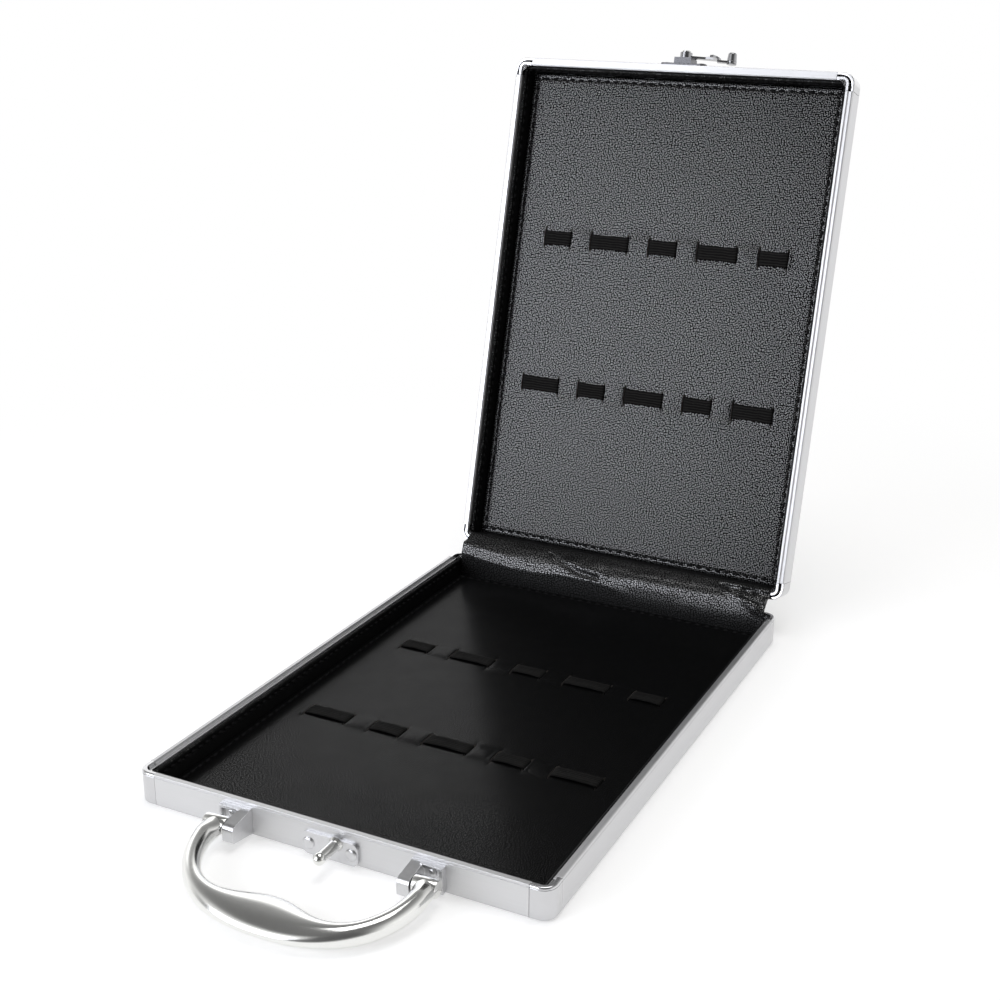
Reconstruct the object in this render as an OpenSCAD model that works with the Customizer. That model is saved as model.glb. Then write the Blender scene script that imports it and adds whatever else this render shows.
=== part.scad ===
// Slim hinged carrying case with an aluminium frame, padded boards and elastic loops for scissors.
// X runs across the case, Y from the handle side to the hinge side, Z up from the underside.
// It is drawn as it stands open: the lid leans back on its hinge stops, the handle lies forward
// and the latch arm is swung out.

/* [Case] */
// Width of the case across the handle side
case_w = 210; // [190:1:260]
// Depth of the case from the handle side to the hinge side
case_d = 300; // [250:1:380]
// Height of the base half
base_h = 16.5; // [15.5:0.5:22]
// Height of the lid half
lid_h = 16.5; // [15.5:0.5:22]
// Gap between the two frames when the case is shut
parting_gap = 0.3; // [0.2:0.05:0.6]
// Angle that the lid opens to before its hinges stop it
open_angle = 104.5; // [98:0.5:110]
// Radius of the corners seen from above
corner_r = 6.5; // [6.5:0.1:8]
// Length of each leg of a corner cap
corner_leg = 10.2; // [9:0.1:14]

/* [Frame rail] */
// Width of the rail seen from above
rail_w = 4.4; // [4.3:0.1:5]
// Thickness of the rail's outer wall
wall_t = 1.2; // [1:0.1:1.6]
// Radius of the rail's outer lower edge
edge_r = 1.8; // [1:0.1:2.2]
// Width of the flange that holds the panel
flange_w = 6; // [5.4:0.1:6.3]
// Thickness of that flange
flange_t = 0.8; // [0.6:0.1:1]
// Thickness of the ledge above the panel's edge
ledge_t = 0.8; // [0.6:0.1:1.2]
// Height of the solid head of the rail
head_h = 3; // [2.6:0.1:3.6]
// Width of the base rail's raised crest
crest_w = 2.4; // [2:0.1:2.5]
// Depth of the step inside that crest
step_depth = 1.6; // [1.4:0.1:1.9]
// Width of the lid rail's tongue, which drops into the step
tongue_w = 1.3; // [1:0.1:1.5]
// Height of that tongue
tongue_h = 1.2; // [0.8:0.1:1.3]
// Side clearance between the tongue and the crest
tongue_fit = 0.4; // [0.3:0.05:0.5]
// Width of the shadow line run along the outer wall
line_w = 0.35; // [0.2:0.05:0.6]
// Distance of the shadow line below the mating edge
line_drop = 1.5; // [1.2:0.1:2]

/* [Panels and lining] */
// Thickness of the outer panel
panel_t = 2.4; // [2.2:0.1:3]
// Thickness of the panel's edge inside the rail's slot
panel_edge_t = 1.6; // [1.2:0.1:1.8]
// Thickness of the lining along the inside of the rails
liner_t = 2; // [1:0.1:2.4]
// Thickness of the insert board
board_t = 2.3; // [2:0.1:3]
// Depth of the channels behind the insert board
channel_depth = 1.1; // [1:0.1:1.3]
// Thickness of the soft strip that covers the hinge line
gusset_t = 1; // [0.8:0.1:1.2]

/* [Elastic loops] */
// Number of loops in a row
loop_count = 5; // [3:1:5]
// Distance between the centres of neighbouring loops
loop_pitch = 34.5; // [32:0.5:36]
// Length of a narrow loop
narrow_loop = 18; // [14:0.5:20]
// Length of a wide loop
wide_loop = 25; // [21:0.5:27]
// Width of the elastic
elastic_w = 9; // [6:0.5:11]
// Thickness of the elastic
elastic_t = 0.7; // [0.5:0.05:0.8]
// Length of the slits that the elastic passes through
slit_len = 13; // [11.5:0.5:15]
// Distance of the base row near the handle from the middle
base_front_row = -47.5; // [-60:0.5:-30]
// Distance of the base row near the hinge from the middle
base_rear_row = 41; // [30:0.5:60]
// Distance of the lid row near the latch from the middle
lid_front_row = -44.3; // [-60:0.1:-30]
// Distance of the lid row near the hinge from the middle
lid_rear_row = 46; // [30:0.5:60]

/* [Handle] */
// Distance from the middle of the case to the inner face of a bracket
bracket_in = 41; // [34:0.5:48]
// Width of a bracket
bracket_w = 15.5; // [14.5:0.5:17]
// Height of a bracket
bracket_h = 12.5; // [12:0.1:13]
// Distance from the underside of the case to the bracket
bracket_z = 1.4; // [1:0.1:1.8]
// Thickness of the bracket's long inner cheek
cheek_t = 5.8; // [5:0.1:6.2]
// Thickness of the bracket's short outer wall, lip and back
bracket_wall = 1.5; // [1.2:0.1:1.8]
// How far the lip and the outer wall stand out
lip_reach = 3.2; // [2.8:0.1:3.6]
// Distance from the front rail to the handle's pivot
pivot_reach = 9.6; // [9.6:0.1:11]
// Height of the handle's pivot above the underside
pivot_z = 8.7; // [8.4:0.1:9.2]
// Distance from the front rail to the front of the cheek's nose
nose_reach = 14.2; // [13.8:0.1:14.6]
// Radius of the rounded top of the nose
nose_r = 3; // [2.6:0.1:3.4]
// Height of the top of the nose above the pivot
nose_rise = 3.4; // [3.2:0.1:3.8]
// Radius of the nose's lower corner
toe_r = 1.3; // [1:0.1:1.6]
// Depth of the nose below the pivot
toe_drop = 5.1; // [4.6:0.1:5.4]
// Radius of the handle's pivot pins
handle_pin_r = 1.6; // [1.2:0.1:2]
// Distance from the pivot to the front of the handle
handle_reach = 54; // [46:1:56]
// Thickness of the handle bar
bar_t = 10; // [8.6:0.1:10]
// Width of the handle bar
bar_w = 8.8; // [8:0.1:10]
// Width of the palm grip
palm_w = 22.4; // [14:0.2:26]
// Length of the palm grip's swelling
palm_len = 94; // [60:1:96]
// Thickness of the rounded ends of the handle
eye_t = 8; // [7.4:0.1:8.4]
// How far the front of the handle stands to the right of its pivots, 0 for a symmetric handle
handle_lean = 4.4; // [0:0.2:5]
// How far the handle's ends stand out past the brackets
handle_over = 1.8; // [1:0.1:2.4]
// Angle that the handle hangs below level at rest
handle_droop = 3.6; // [2:0.2:3.6]

/* [Latch] */
// Sideways place of the latch and its catch
latch_x = 1; // [-15:0.5:15]
// Length of the latch plate and the catch plate
plate_len = 28; // [26:0.5:32]
// Height of the two plates
plate_h = 11; // [10:0.25:11.5]
// Thickness of the two plates
plate_t = 1.5; // [1.2:0.1:1.8]
// Height of the latch pivot above the lid's mating edge
latch_rise = 8; // [7.5:0.25:8.5]
// Size of the square block that carries the pivot
block_w = 10; // [9:0.25:10.5]
// Height of that block above the rail
block_h = 5; // [4.6:0.1:5.4]
// Radius of the latch pivot pin
latch_pin_r = 1.5; // [1:0.1:1.8]
// Distance from the latch pivot to the finger knob
arm_len = 27; // [25:0.5:29]
// Width of the latch arm
arm_w = 4; // [3.4:0.1:4.2]
// Thickness of the latch arm
arm_t = 1.3; // [1:0.1:1.5]
// Angle of the open latch arm above level, with the case shut
arm_rest = 13; // [8:1:18]
// Angle that the latch arm turns through to shut
arm_travel = 67; // [64:0.5:68]
// Radius of the finger knob
knob_r = 2.9; // [2.4:0.1:2.9]
// Height of the knob's top above the rail
knob_top = 10.6; // [9:0.1:12]
// Sideways place of the middle of the catch plate from the latch
catch_dx = -0.7; // [-1.5:0.1:1]
// Distance of the catch plate's middle below the catch post
catch_drop = 3.4; // [2.8:0.1:3.6]
// Sideways place of the catch post from the latch
post_dx = 2.5; // [1.5:0.25:3]
// Distance of the catch post below the base's mating edge
post_drop = 6.7; // [6.3:0.1:7]
// Radius of the catch post
post_r = 2.6; // [2.2:0.1:2.8]
// Length of the catch post from the rail to the middle of its ball end
post_len = 14; // [13:0.1:17]
// Clearance between the catch post and the latch arm's hook
post_fit = 0.3; // [0.2:0.05:0.5]

/* [Hinges] */
// Distance of each hinge's middle from the side of the case
hinge_inset = 45; // [40:1:60]
// Length of a hinge along its pin
hinge_len = 32; // [28:1:40]
// Distance of the hinge pin behind the rear rails
hinge_back = 5; // [4.9:0.1:5.4]
// Radius of the hinge barrel
barrel_r = 3.2; // [2.8:0.1:3.2]
// Radius of the hinge pin
hinge_pin_r = 1.4; // [1:0.1:1.6]
// Thickness of the hinge leaves
leaf_t = 1.4; // [1:0.1:1.6]
// Height of a hinge leaf on its rail
leaf_h = 12; // [11:0.5:13]

/* [Fits] */
// Running clearance of a pin in its hole, on the radius
pin_fit = 0.06; // [0.03:0.01:0.1]
// Gap left between moving pieces
run_gap = 0.3; // [0.2:0.05:0.5]
// Clearance of pieces that are pushed together
push_fit = 0.05; // [0.02:0.01:0.1]
// Width of the seam between rails and corner caps
seam = 0.15; // [0.05:0.05:0.3]

/* [Corner brackets] */
// Length of each arm of the hidden brackets inside the corners
corner_arm = 24; // [16:1:24]
// Thickness of those brackets
corner_arm_t = 1; // [0.8:0.1:1.2]

/* [Hidden] */
$fn = 64;
half_w = case_w / 2;
half_d = case_d / 2;
lid_top = base_h + parting_gap + lid_h;
lid_plane = base_h + parting_gap;
hinge_x = half_w - hinge_inset;
hinge_y = half_d + hinge_back;
hinge_z = base_h + parting_gap / 2;
slot_t = panel_edge_t + push_fit;
ledge_z = flange_t + slot_t + ledge_t;
tongue_u = crest_w + tongue_fit;
board_top = panel_t + board_t;
liner_u = rail_w + push_fit;
board_u = liner_u + liner_t + 0.4;
liner_drop = 0.6;
slit_w = 1.4;
slit_inset = elastic_t / 2 + 0.1;
loop_lift = 0.2;
channel_w = elastic_w + 3;
rivet_r = 1.2;
rivet_head_r = 2.1;
rivet_head_h = 1.1;
rivet_tail_h = 0.6;
handle_in = bracket_in + cheek_t + run_gap;
handle_out = bracket_in + bracket_w + handle_over;
handle_pin_start = handle_in + 5;
handle_pin_end = handle_in - cheek_t + 1.2;
bar_start = 11;
bend_power = 2 / 2.25;
post_x = latch_x + post_dx;
post_z = base_h - post_drop;
catch_x = latch_x + catch_dx;
catch_z = post_z - catch_drop;
latch_z = lid_plane + latch_rise;
post_dz = latch_z - post_z;
post_radius = sqrt(post_dx * post_dx + post_dz * post_dz);
post_angle = atan2(post_dz, post_dx);
hook_angle = post_angle + arm_rest - arm_travel;
hook_gap = post_r + post_fit;
hook_back = hook_angle - asin(hook_gap / post_radius);
hook_tip = hook_angle + 7;
hook_t = 2.5;
arm_low = block_h + run_gap;
joggle = 0.9;
hub_r = 3.6;
hub_top = 8.4;
cap_t = 0.9;
plate_rivet_x = plate_len / 2 - 3.2;
knuckle_half = 5;
stop_drop = 4.6;
leaf_z = base_h - 1.2 - leaf_h;

// Places

// A half drawn from its outer skin up becomes the shut lid
module as_lid() {
    translate([0, 0, lid_top]) mirror([0, 0, 1]) children();
}

// Turns a piece of the shut lid about the hinge pins to where the lid stands open
module opened() {
    translate([0, hinge_y, hinge_z]) rotate([-open_angle, 0, 0]) translate([0, -hinge_y, -hinge_z]) children();
}

// A piece drawn along +X on the front side, moved to side 0 front, 1 right, 2 rear or 3 left
module on_side(side) {
    rotate([0, 0, 90 * side]) translate([0, side % 2 == 0 ? -half_d : -half_w, 0]) children();
}

// A piece drawn in the front left corner, mirrored to the corner at sx and sy
module in_corner(sx, sy) {
    mirror([sx > 0 ? 1 : 0, 0, 0]) mirror([0, sy > 0 ? 1 : 0, 0]) translate([-half_w, -half_d, 0]) children();
}

// Two-dimensional shapes

// Rectangle centred on the origin with true round corners
module rounded(w, d, r) {
    square([w, d - 2 * r], center = true);
    square([w - 2 * r, d], center = true);
    for (sx = [-1, 1], sy = [-1, 1]) translate([sx * (w / 2 - r), sy * (d / 2 - r)]) circle(r);
}

// Section of a rail: x inwards from the outer face, y from the outer skin to the mating edge
module rail_section(h, is_lid) {
    difference() {
        union() {
            translate([0, edge_r]) square([rail_w, h - edge_r]);
            translate([edge_r, 0]) square([flange_w - edge_r, flange_t]);
            translate([edge_r, 0]) square([rail_w - edge_r, h]);
            translate([edge_r, edge_r]) circle(edge_r);
            if (is_lid) translate([tongue_u, h - 1]) square([tongue_w, tongue_h + 1]);
        }
        translate([wall_t, flange_t]) square([flange_w, slot_t]);
        translate([wall_t, ledge_z]) square([flange_w, h - head_h - ledge_z]);
        if (!is_lid) translate([crest_w, h - step_depth]) square([rail_w, step_depth + 1]);
        translate([-1, h - line_drop]) square([1.25, line_w]);
    }
}

// Frame pieces

module rail_bar(length, h, is_lid) {
    rotate([90, 0, 90]) linear_extrude(length, center = true) rail_section(h, is_lid);
}

// Holes through a rail's outer wall on the front side, at [x, z] places
module wall_holes(places, r) {
    for (p = places) translate([p[0], -1, p[1]]) rotate([-90, 0, 0]) cylinder(h = wall_t + 2, r = r);
}

module rail(side, h, is_lid, places = []) {
    length = (side % 2 == 0 ? case_w : case_d) - 2 * (corner_leg + seam);
    on_side(side) difference() {
        rail_bar(length, h, is_lid);
        wall_holes(places, rivet_r + push_fit);
    }
}

module corner_leg_bar(h, is_lid) {
    translate([corner_r, 0, 0]) rotate([90, 0, 90]) linear_extrude(corner_leg - corner_r) rail_section(h, is_lid);
}

module corner_cap(sx, sy, h, is_lid) {
    in_corner(sx, sy) {
        corner_leg_bar(h, is_lid);
        mirror([1, -1, 0]) corner_leg_bar(h, is_lid);
        translate([corner_r, corner_r, 0]) rotate([0, 0, 180]) rotate_extrude(angle = 90)
            translate([corner_r, 0]) mirror([1, 0]) rail_section(h, is_lid);
    }
}

module panel() {
    translate([0, 0, flange_t]) linear_extrude(panel_edge_t)
        rounded(case_w - 2 * (wall_t + 0.1), case_d - 2 * (wall_t + 0.1), corner_r - wall_t - 0.1);
    linear_extrude(panel_t)
        rounded(case_w - 2 * (flange_w + 0.2), case_d - 2 * (flange_w + 0.2), corner_r - flange_w - 0.2);
}

// Lining along three sides; the soft strip covers the fourth
module liner(h) {
    wall_top = h - step_depth - liner_drop;
    difference() {
        translate([0, 0, panel_t]) linear_extrude(wall_top - panel_t) difference() {
            rounded(case_w - 2 * liner_u, case_d - 2 * liner_u, corner_r - liner_u);
            rounded(case_w - 2 * (liner_u + liner_t), case_d - 2 * (liner_u + liner_t), 0.8);
        }
        translate([0, half_d, 0])
            cube([case_w - 2 * (liner_u + liner_t), 4 * (liner_u + liner_t), 4 * h], center = true);
    }
}

function loop_len(i, wide_first) = (i % 2 == 0) == wide_first ? wide_loop : narrow_loop;
function loop_x(i) = (i - (loop_count - 1) / 2) * loop_pitch;

// Slits and the channel behind the board for one row of loops
module row_cuts(y, wide_first) {
    row_half = loop_x(loop_count - 1) + wide_loop / 2 + 2;
    for (i = [0 : loop_count - 1], s = [-1, 1])
        translate([loop_x(i) + s * (loop_len(i, wide_first) / 2 - slit_inset), y, panel_t + board_t / 2])
            cube([slit_w, slit_len, board_t + 2], center = true);
    translate([-row_half, y - channel_w / 2, panel_t - 1]) cube([2 * row_half, channel_w, channel_depth + 1]);
}

module insert_board(front_row, rear_row, front_wide) {
    difference() {
        translate([0, 0, panel_t]) linear_extrude(board_t)
            rounded(case_w - 2 * board_u, case_d - 2 * board_u, 2);
        row_cuts(front_row, front_wide);
        row_cuts(rear_row, !front_wide);
    }
}

// One strip of elastic, woven through the slits: over the board at each loop and behind it between them
module elastic(y, wide_first) {
    back_z = panel_t + 0.2;
    top_z = board_top + loop_lift;
    row_half = loop_x(loop_count - 1) + wide_loop / 2 + 1;
    translate([0, y - elastic_w / 2, 0]) {
        for (i = [0 : loop_count - 1]) {
            half = loop_len(i, wide_first) / 2 - slit_inset + elastic_t / 2;
            translate([loop_x(i) - half, 0, top_z]) cube([2 * half, elastic_w, elastic_t]);
            for (s = [-1, 1])
                translate([loop_x(i) + s * (half - elastic_t / 2) - elastic_t / 2, 0, back_z])
                    cube([elastic_t, elastic_w, top_z + elastic_t - back_z]);
        }
        for (i = [0 : loop_count]) {
            start = i == 0 ? -row_half : loop_x(i - 1) + loop_len(i - 1, wide_first) / 2 - slit_inset;
            end = i == loop_count ? row_half : loop_x(i) - loop_len(i, wide_first) / 2 + slit_inset;
            translate([start - elastic_t / 2, 0, back_z]) cube([end - start + elastic_t, elastic_w, elastic_t]);
        }
    }
}

// L-shaped steel brackets inside the rails, one in each corner
module corner_brackets(h) {
    tall = h - head_h - ledge_z - 1;
    inset = wall_t + 0.1;
    r = corner_r - inset;
    for (sx = [-1, 1], sy = [-1, 1])
        in_corner(sx, sy) translate([0, 0, ledge_z + 0.05]) linear_extrude(tall) {
            translate([corner_r, inset]) square([corner_arm - corner_r, corner_arm_t]);
            translate([inset, corner_r]) square([corner_arm_t, corner_arm - corner_r]);
            translate([corner_r, corner_r]) intersection() {
                difference() {
                    circle(r);
                    circle(r - corner_arm_t);
                }
                translate([-2 * r, -2 * r]) square(2 * r);
            }
        }
}

// Rivets

// Dome-headed rivet through a stack: the head stands out along +Z from z = 0, the tail closes at z = -grip
module rivet(grip, head_r, head_h) {
    ball = (head_r * head_r + head_h * head_h) / (2 * head_h);
    intersection() {
        translate([0, 0, head_h - ball]) sphere(ball);
        cylinder(h = head_h + 1, r = head_r + 1);
    }
    translate([0, 0, -grip]) cylinder(h = grip, r = rivet_r);
    translate([0, 0, -grip - rivet_tail_h]) cylinder(h = rivet_tail_h, r = rivet_r + 0.7);
}

// Rivets at [x, z] places on the front side, whose heads sit on something of thickness cover
module front_rivets(places, cover) {
    for (p = places)
        translate([p[0], -half_d - cover, p[1]]) rotate([90, 0, 0])
            rivet(cover + wall_t, rivet_head_r, rivet_head_h);
}

// Handle and its brackets

bracket_rivet_x = bracket_in + cheek_t + (bracket_w - cheek_t - bracket_wall) / 2;
bracket_rivet_z = bracket_z + bracket_h - bracket_wall - rivet_head_r - 0.3;
bracket_holes = [[bracket_rivet_x, bracket_rivet_z], [-bracket_rivet_x, bracket_rivet_z]];

// Angle of the line from a point to the upper (side 1) or lower (side -1) tangent of the cheek's nose
function tangent_point(p, c, r, side) =
    let (d = c - p, far = norm(d), a = atan2(d[1], d[0]), b = asin(r / far), reach = sqrt(far * far - r * r))
    p + reach * [cos(a + side * b), sin(a + side * b)];

// The long inner cheek seen from the side: x out from the rail, y up
module cheek_outline() {
    nose = [nose_reach - nose_r, pivot_z + nose_rise - nose_r];
    toe = [nose_reach - toe_r, pivot_z - toe_drop + toe_r];
    low = [0, bracket_z];
    high = [0, bracket_z + bracket_h];
    polygon([low, tangent_point(low, toe, toe_r, -1), toe, [nose_reach, toe[1]], [nose_reach, nose[1]], nose,
        tangent_point(high, nose, nose_r, 1), high]);
    translate(nose) circle(nose_r);
    translate(toe) circle(toe_r);
}

// The right hand bracket, drawn where it sits
module handle_bracket() {
    difference() {
        union() {
            translate([bracket_in, -half_d, 0]) rotate([90, 0, 90]) mirror([1, 0, 0])
                linear_extrude(cheek_t) cheek_outline();
            translate([bracket_in, -half_d - bracket_wall, bracket_z]) cube([bracket_w, bracket_wall, bracket_h]);
            translate([bracket_in + cheek_t - 1, -half_d - lip_reach, bracket_z + bracket_h - bracket_wall])
                cube([bracket_w - cheek_t + 1, lip_reach, bracket_wall]);
            translate([bracket_in + bracket_w - bracket_wall, -half_d - lip_reach, bracket_z])
                cube([bracket_wall, lip_reach, bracket_h]);
        }
        translate([handle_pin_end, -half_d - pivot_reach, pivot_z]) rotate([0, 90, 0])
            cylinder(h = bracket_w, r = handle_pin_r);
        translate([bracket_rivet_x, -half_d - bracket_w, bracket_rivet_z]) rotate([-90, 0, 0])
            cylinder(h = bracket_w + 1, r = rivet_r + push_fit);
    }
}

module handle_pin() {
    translate([handle_pin_end, -half_d - pivot_reach, pivot_z]) rotate([0, 90, 0])
        cylinder(h = handle_pin_start - handle_pin_end, r = handle_pin_r);
}

function smooth(t) = let (c = min(1, max(0, t))) c * c * (3 - 2 * c);
function power(v, e) = v <= 0 ? 0 : pow(v, e);

// Outer outline of the handle for t from 0 (right end) to 180 (left end), x across and y out from the pivot
function outline(t) =
    let (
        q = handle_reach * power(abs(sin(t)), bend_power),
        wide = handle_out * power(abs(cos(t)), bend_power)
    )
    [sign(cos(t)) * wide, q];

end_half = (handle_out - handle_in) / 2;

// Half the width of the bar or palm grip at t
function bar_half(t) =
    let (
        p = outline(t),
        ends = end_half + (bar_w / 2 - end_half) * smooth(p[1] / bar_start),
        swell = abs(p[0]) < palm_len / 2 ? pow(cos(180 * p[0] / palm_len), 2) : 0
    )
    ends + (palm_w - bar_w) / 2 * swell;

// Unit vector from the outline towards the inside of the bend
function inward(t) =
    let (step = 0.05, a = outline(max(0, t - step)), b = outline(min(180, t + step)), d = (b - a) / norm(b - a))
    t <= 0 ? [-1, 0] : t >= 180 ? [1, 0] : [-d[1], d[0]];

// Half the thickness of the bar at t, a little less than the round ends where it leaves them
function bar_high(t) =
    let (end = eye_t / 2 - 0.08)
    end + (bar_t / 2 - end) * smooth(outline(t)[1] / bar_start);

sweep_steps = 56;
ring_sides = 28;

function ring(t) =
    let (half = bar_half(t), high = bar_high(t), n = inward(t), c = outline(t) + n * half)
    [for (j = [0 : ring_sides - 1])
        let (w = half * cos(360 * j / ring_sides), q = c[1] + n[1] * w)
        [c[0] + n[0] * w + handle_lean * q / handle_reach, -q, high * sin(360 * j / ring_sides)]];

// The bail, swept with its changing section, with its pivot axis along X through the origin
module handle_sweep() {
    rings = [for (i = [0 : sweep_steps]) ring(180 * i / sweep_steps)];
    points = [for (r = rings) for (p = r) p];
    sides = [for (i = [0 : sweep_steps - 1], j = [0 : ring_sides - 1])
        let (a = i * ring_sides + j, b = i * ring_sides + (j + 1) % ring_sides, c = a + ring_sides, d = b + ring_sides)
        each [[a, b, c], [b, d, c]]];
    first = [for (j = [0 : ring_sides - 1]) ring_sides - 1 - j];
    last = [for (j = [0 : ring_sides - 1]) sweep_steps * ring_sides + j];
    polyhedron(points, concat(sides, [first, last]));
}

module handle_body() {
    translate([0, -half_d - pivot_reach, pivot_z]) rotate([handle_droop, 0, 0]) difference() {
        union() {
            handle_sweep();
            for (s = [-1, 1])
                translate([s * (handle_in + handle_out) / 2, 0, 0]) rotate([0, 90, 0])
                    cylinder(h = handle_out - handle_in, r = eye_t / 2, center = true);
        }
        for (s = [-1, 1])
            translate([s * (handle_in + handle_pin_start + pin_fit) / 2, 0, 0]) rotate([0, 90, 0])
                cylinder(h = handle_pin_start + pin_fit - handle_in + 0.002, r = handle_pin_r + pin_fit, center = true);
    }
}

// Catch on the base

catch_holes = [[catch_x - plate_rivet_x, catch_z], [catch_x + plate_rivet_x, catch_z]];

// A plate with rounded ends lying on the front rail, centred at x and z
module face_plate(x, z, holes, pin_x, pin_z, pin_r) {
    difference() {
        translate([x, -half_d, z]) rotate([90, 0, 0]) linear_extrude(plate_t) rounded(plate_len, plate_h, 3);
        for (p = holes) translate([p[0], -half_d - plate_t - 1, p[1]]) rotate([-90, 0, 0])
            cylinder(h = plate_t + 2, r = rivet_r + push_fit);
        translate([pin_x, -half_d - plate_t - 1, pin_z]) rotate([-90, 0, 0])
            cylinder(h = plate_t + 2, r = pin_r);
    }
}

// Post with a flared root and a ball end, riveted through the plate and the rail
module post() {
    root = plate_t;
    translate([post_x, -half_d, post_z]) rotate([90, 0, 0]) {
        translate([0, 0, -wall_t]) cylinder(h = root + wall_t, r = rivet_r);
        translate([0, 0, -wall_t - rivet_tail_h]) cylinder(h = rivet_tail_h, r = rivet_r + 0.7);
        translate([0, 0, root]) cylinder(h = 1.6, r1 = post_r + 1, r2 = post_r);
        translate([0, 0, root]) cylinder(h = post_len - root, r = post_r);
        translate([0, 0, post_len]) sphere(post_r + 0.3);
    }
}

// Latch on the lid, drawn with the case shut: x across, y up the lid's front face, z out from the rail

latch_holes = [[latch_x - plate_rivet_x, latch_z], [latch_x + plate_rivet_x, latch_z]];
stop_pin_x = 4.6;
stop_pin_r = 0.55;
stop_pin_y = (arm_w / 2 + run_gap + stop_pin_r + stop_pin_x * sin(arm_rest)) / cos(arm_rest);

module on_latch() {
    translate([latch_x, -half_d, latch_z]) rotate([90, 0, 0]) children();
}

module block() {
    on_latch() difference() {
        union() {
            translate([-block_w / 2 - 0.3, -block_w / 2, plate_t]) cube([block_w + 0.6, block_w, block_h - plate_t]);
            translate([stop_pin_x, stop_pin_y, block_h - 1]) cylinder(h = 1 + run_gap + arm_t, r = stop_pin_r, $fn = 24);
        }
        translate([0, 0, plate_t - 1]) cylinder(h = block_h + 1, r = latch_pin_r);
    }
}

module latch_pin() {
    on_latch() {
        translate([0, 0, -wall_t]) cylinder(h = hub_top + run_gap + wall_t, r = latch_pin_r);
        translate([0, 0, -wall_t - rivet_tail_h]) cylinder(h = rivet_tail_h, r = latch_pin_r + 0.7);
        translate([0, 0, hub_top + run_gap / 2]) cylinder(h = cap_t, r = latch_pin_r + 1);
    }
}

module sector(r_in, r_out, from, to) {
    reach = 2 * r_out;
    intersection() {
        difference() {
            circle(r_out);
            circle(r_in);
        }
        polygon([[0, 0], [reach * cos(from), reach * sin(from)], [reach * cos(to), reach * sin(to)]]);
    }
}

// The arm points along +X here, and its hook is on the side that leads when it shuts
module arm_outline() {
    inner = post_radius - hook_gap;
    outer = post_radius + hook_gap;
    translate([0, -arm_w / 2]) square([outer + hook_t, arm_w]);
    sector(inner, outer + hook_t, -hook_back, 0);
    sector(outer, outer + hook_t, -hook_tip, -hook_back + 0.5);
}

module arm() {
    hook_reach = post_radius + hook_gap + hook_t;
    on_latch() rotate([0, 0, arm_rest]) difference() {
        union() {
            translate([0, 0, arm_low]) linear_extrude(arm_t) arm_outline();
            translate([0, 0, arm_low]) cylinder(h = hub_top - arm_low, r = hub_r);
            translate([hook_reach - 2, -arm_w / 2, arm_low - joggle]) cube([arm_len - hook_reach + 2, arm_w, arm_t]);
            translate([arm_len, 0, arm_low - joggle]) cylinder(h = arm_t, r = knob_r);
        }
        translate([0, 0, arm_low - 1]) cylinder(h = hub_top, r = latch_pin_r + pin_fit);
        translate([arm_len, 0, arm_low - joggle - 1]) cylinder(h = arm_t + 2, r = 1.2);
    }
}

module knob() {
    under = arm_low - joggle;
    on_latch() rotate([0, 0, arm_rest]) translate([arm_len, 0, 0]) {
        translate([0, 0, under - 0.6]) cylinder(h = 0.6, r = knob_r);
        translate([0, 0, under]) cylinder(h = arm_t, r = 1.2);
        translate([0, 0, under + arm_t]) cylinder(h = knob_top - under - arm_t - 0.6, r1 = knob_r, r2 = knob_r - 0.4);
        translate([0, 0, knob_top - 0.6]) cylinder(h = 0.6, r1 = knob_r - 0.4, r2 = knob_r - 1);
    }
}

// Hinges

leaf_rivet_x = hinge_len / 2 - 5;
leaf_rivet_z = leaf_z + leaf_h / 2 - 1;
hinge_hole_x = [hinge_x - leaf_rivet_x, hinge_x + leaf_rivet_x];
hinge_holes = [for (s = [-1, 1], x = hinge_hole_x) [s * x, leaf_rivet_z]];

// Leaf on the base's rear face, centred at x, with its stretches of barrel, its bore and its stop if it has one
module leaf(x, knuckles, bore_r, has_stop) {
    stop_y = leaf_t + run_gap - hinge_back;
    difference() {
        union() {
            translate([x - hinge_len / 2, half_d, leaf_z]) cube([hinge_len, leaf_t, leaf_h]);
            for (k = knuckles) translate([x + k[0], hinge_y, hinge_z]) rotate([90, 0, 90])
                linear_extrude(k[1] - k[0]) {
                    circle(barrel_r);
                    polygon([[0, 0], [0, -barrel_r], [leaf_t - hinge_back, leaf_z + leaf_h - 5 - hinge_z],
                        [-hinge_back, leaf_z + leaf_h - 5 - hinge_z], [-hinge_back, leaf_z + leaf_h - hinge_z]]);
                    if (has_stop) rotate(-open_angle) translate([stop_y, 0]) square([-stop_y, stop_drop]);
                }
        }
        translate([x, hinge_y, hinge_z]) rotate([0, 90, 0])
            cylinder(h = hinge_len + 2, r = bore_r, center = true);
        for (s = [-1, 1]) translate([x + s * leaf_rivet_x, half_d - 1, leaf_rivet_z]) rotate([-90, 0, 0])
            cylinder(h = leaf_t + 2, r = rivet_r + push_fit);
    }
}

module base_leaf(x) {
    gap = run_gap / 2;
    leaf(x, [[-hinge_len / 2, -knuckle_half - gap], [knuckle_half + gap, hinge_len / 2]], hinge_pin_r, false);
}

// The lid leaf is turned over, with the middle knuckle and the stop that lands on the base leaf
module lid_leaf(x) {
    half = knuckle_half - run_gap / 2;
    translate([0, 0, 2 * hinge_z]) mirror([0, 0, 1])
        leaf(x, [[-half, half]], hinge_pin_r + pin_fit, true);
}

module hinge_pin(x) {
    translate([x, hinge_y, hinge_z]) rotate([0, 90, 0]) {
        cylinder(h = hinge_len, r = hinge_pin_r, center = true);
        for (s = [-1, 1]) translate([0, 0, s * (hinge_len / 2 + 0.4)]) cylinder(h = 0.8, r = hinge_pin_r + 0.8, center = true);
    }
}

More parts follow.
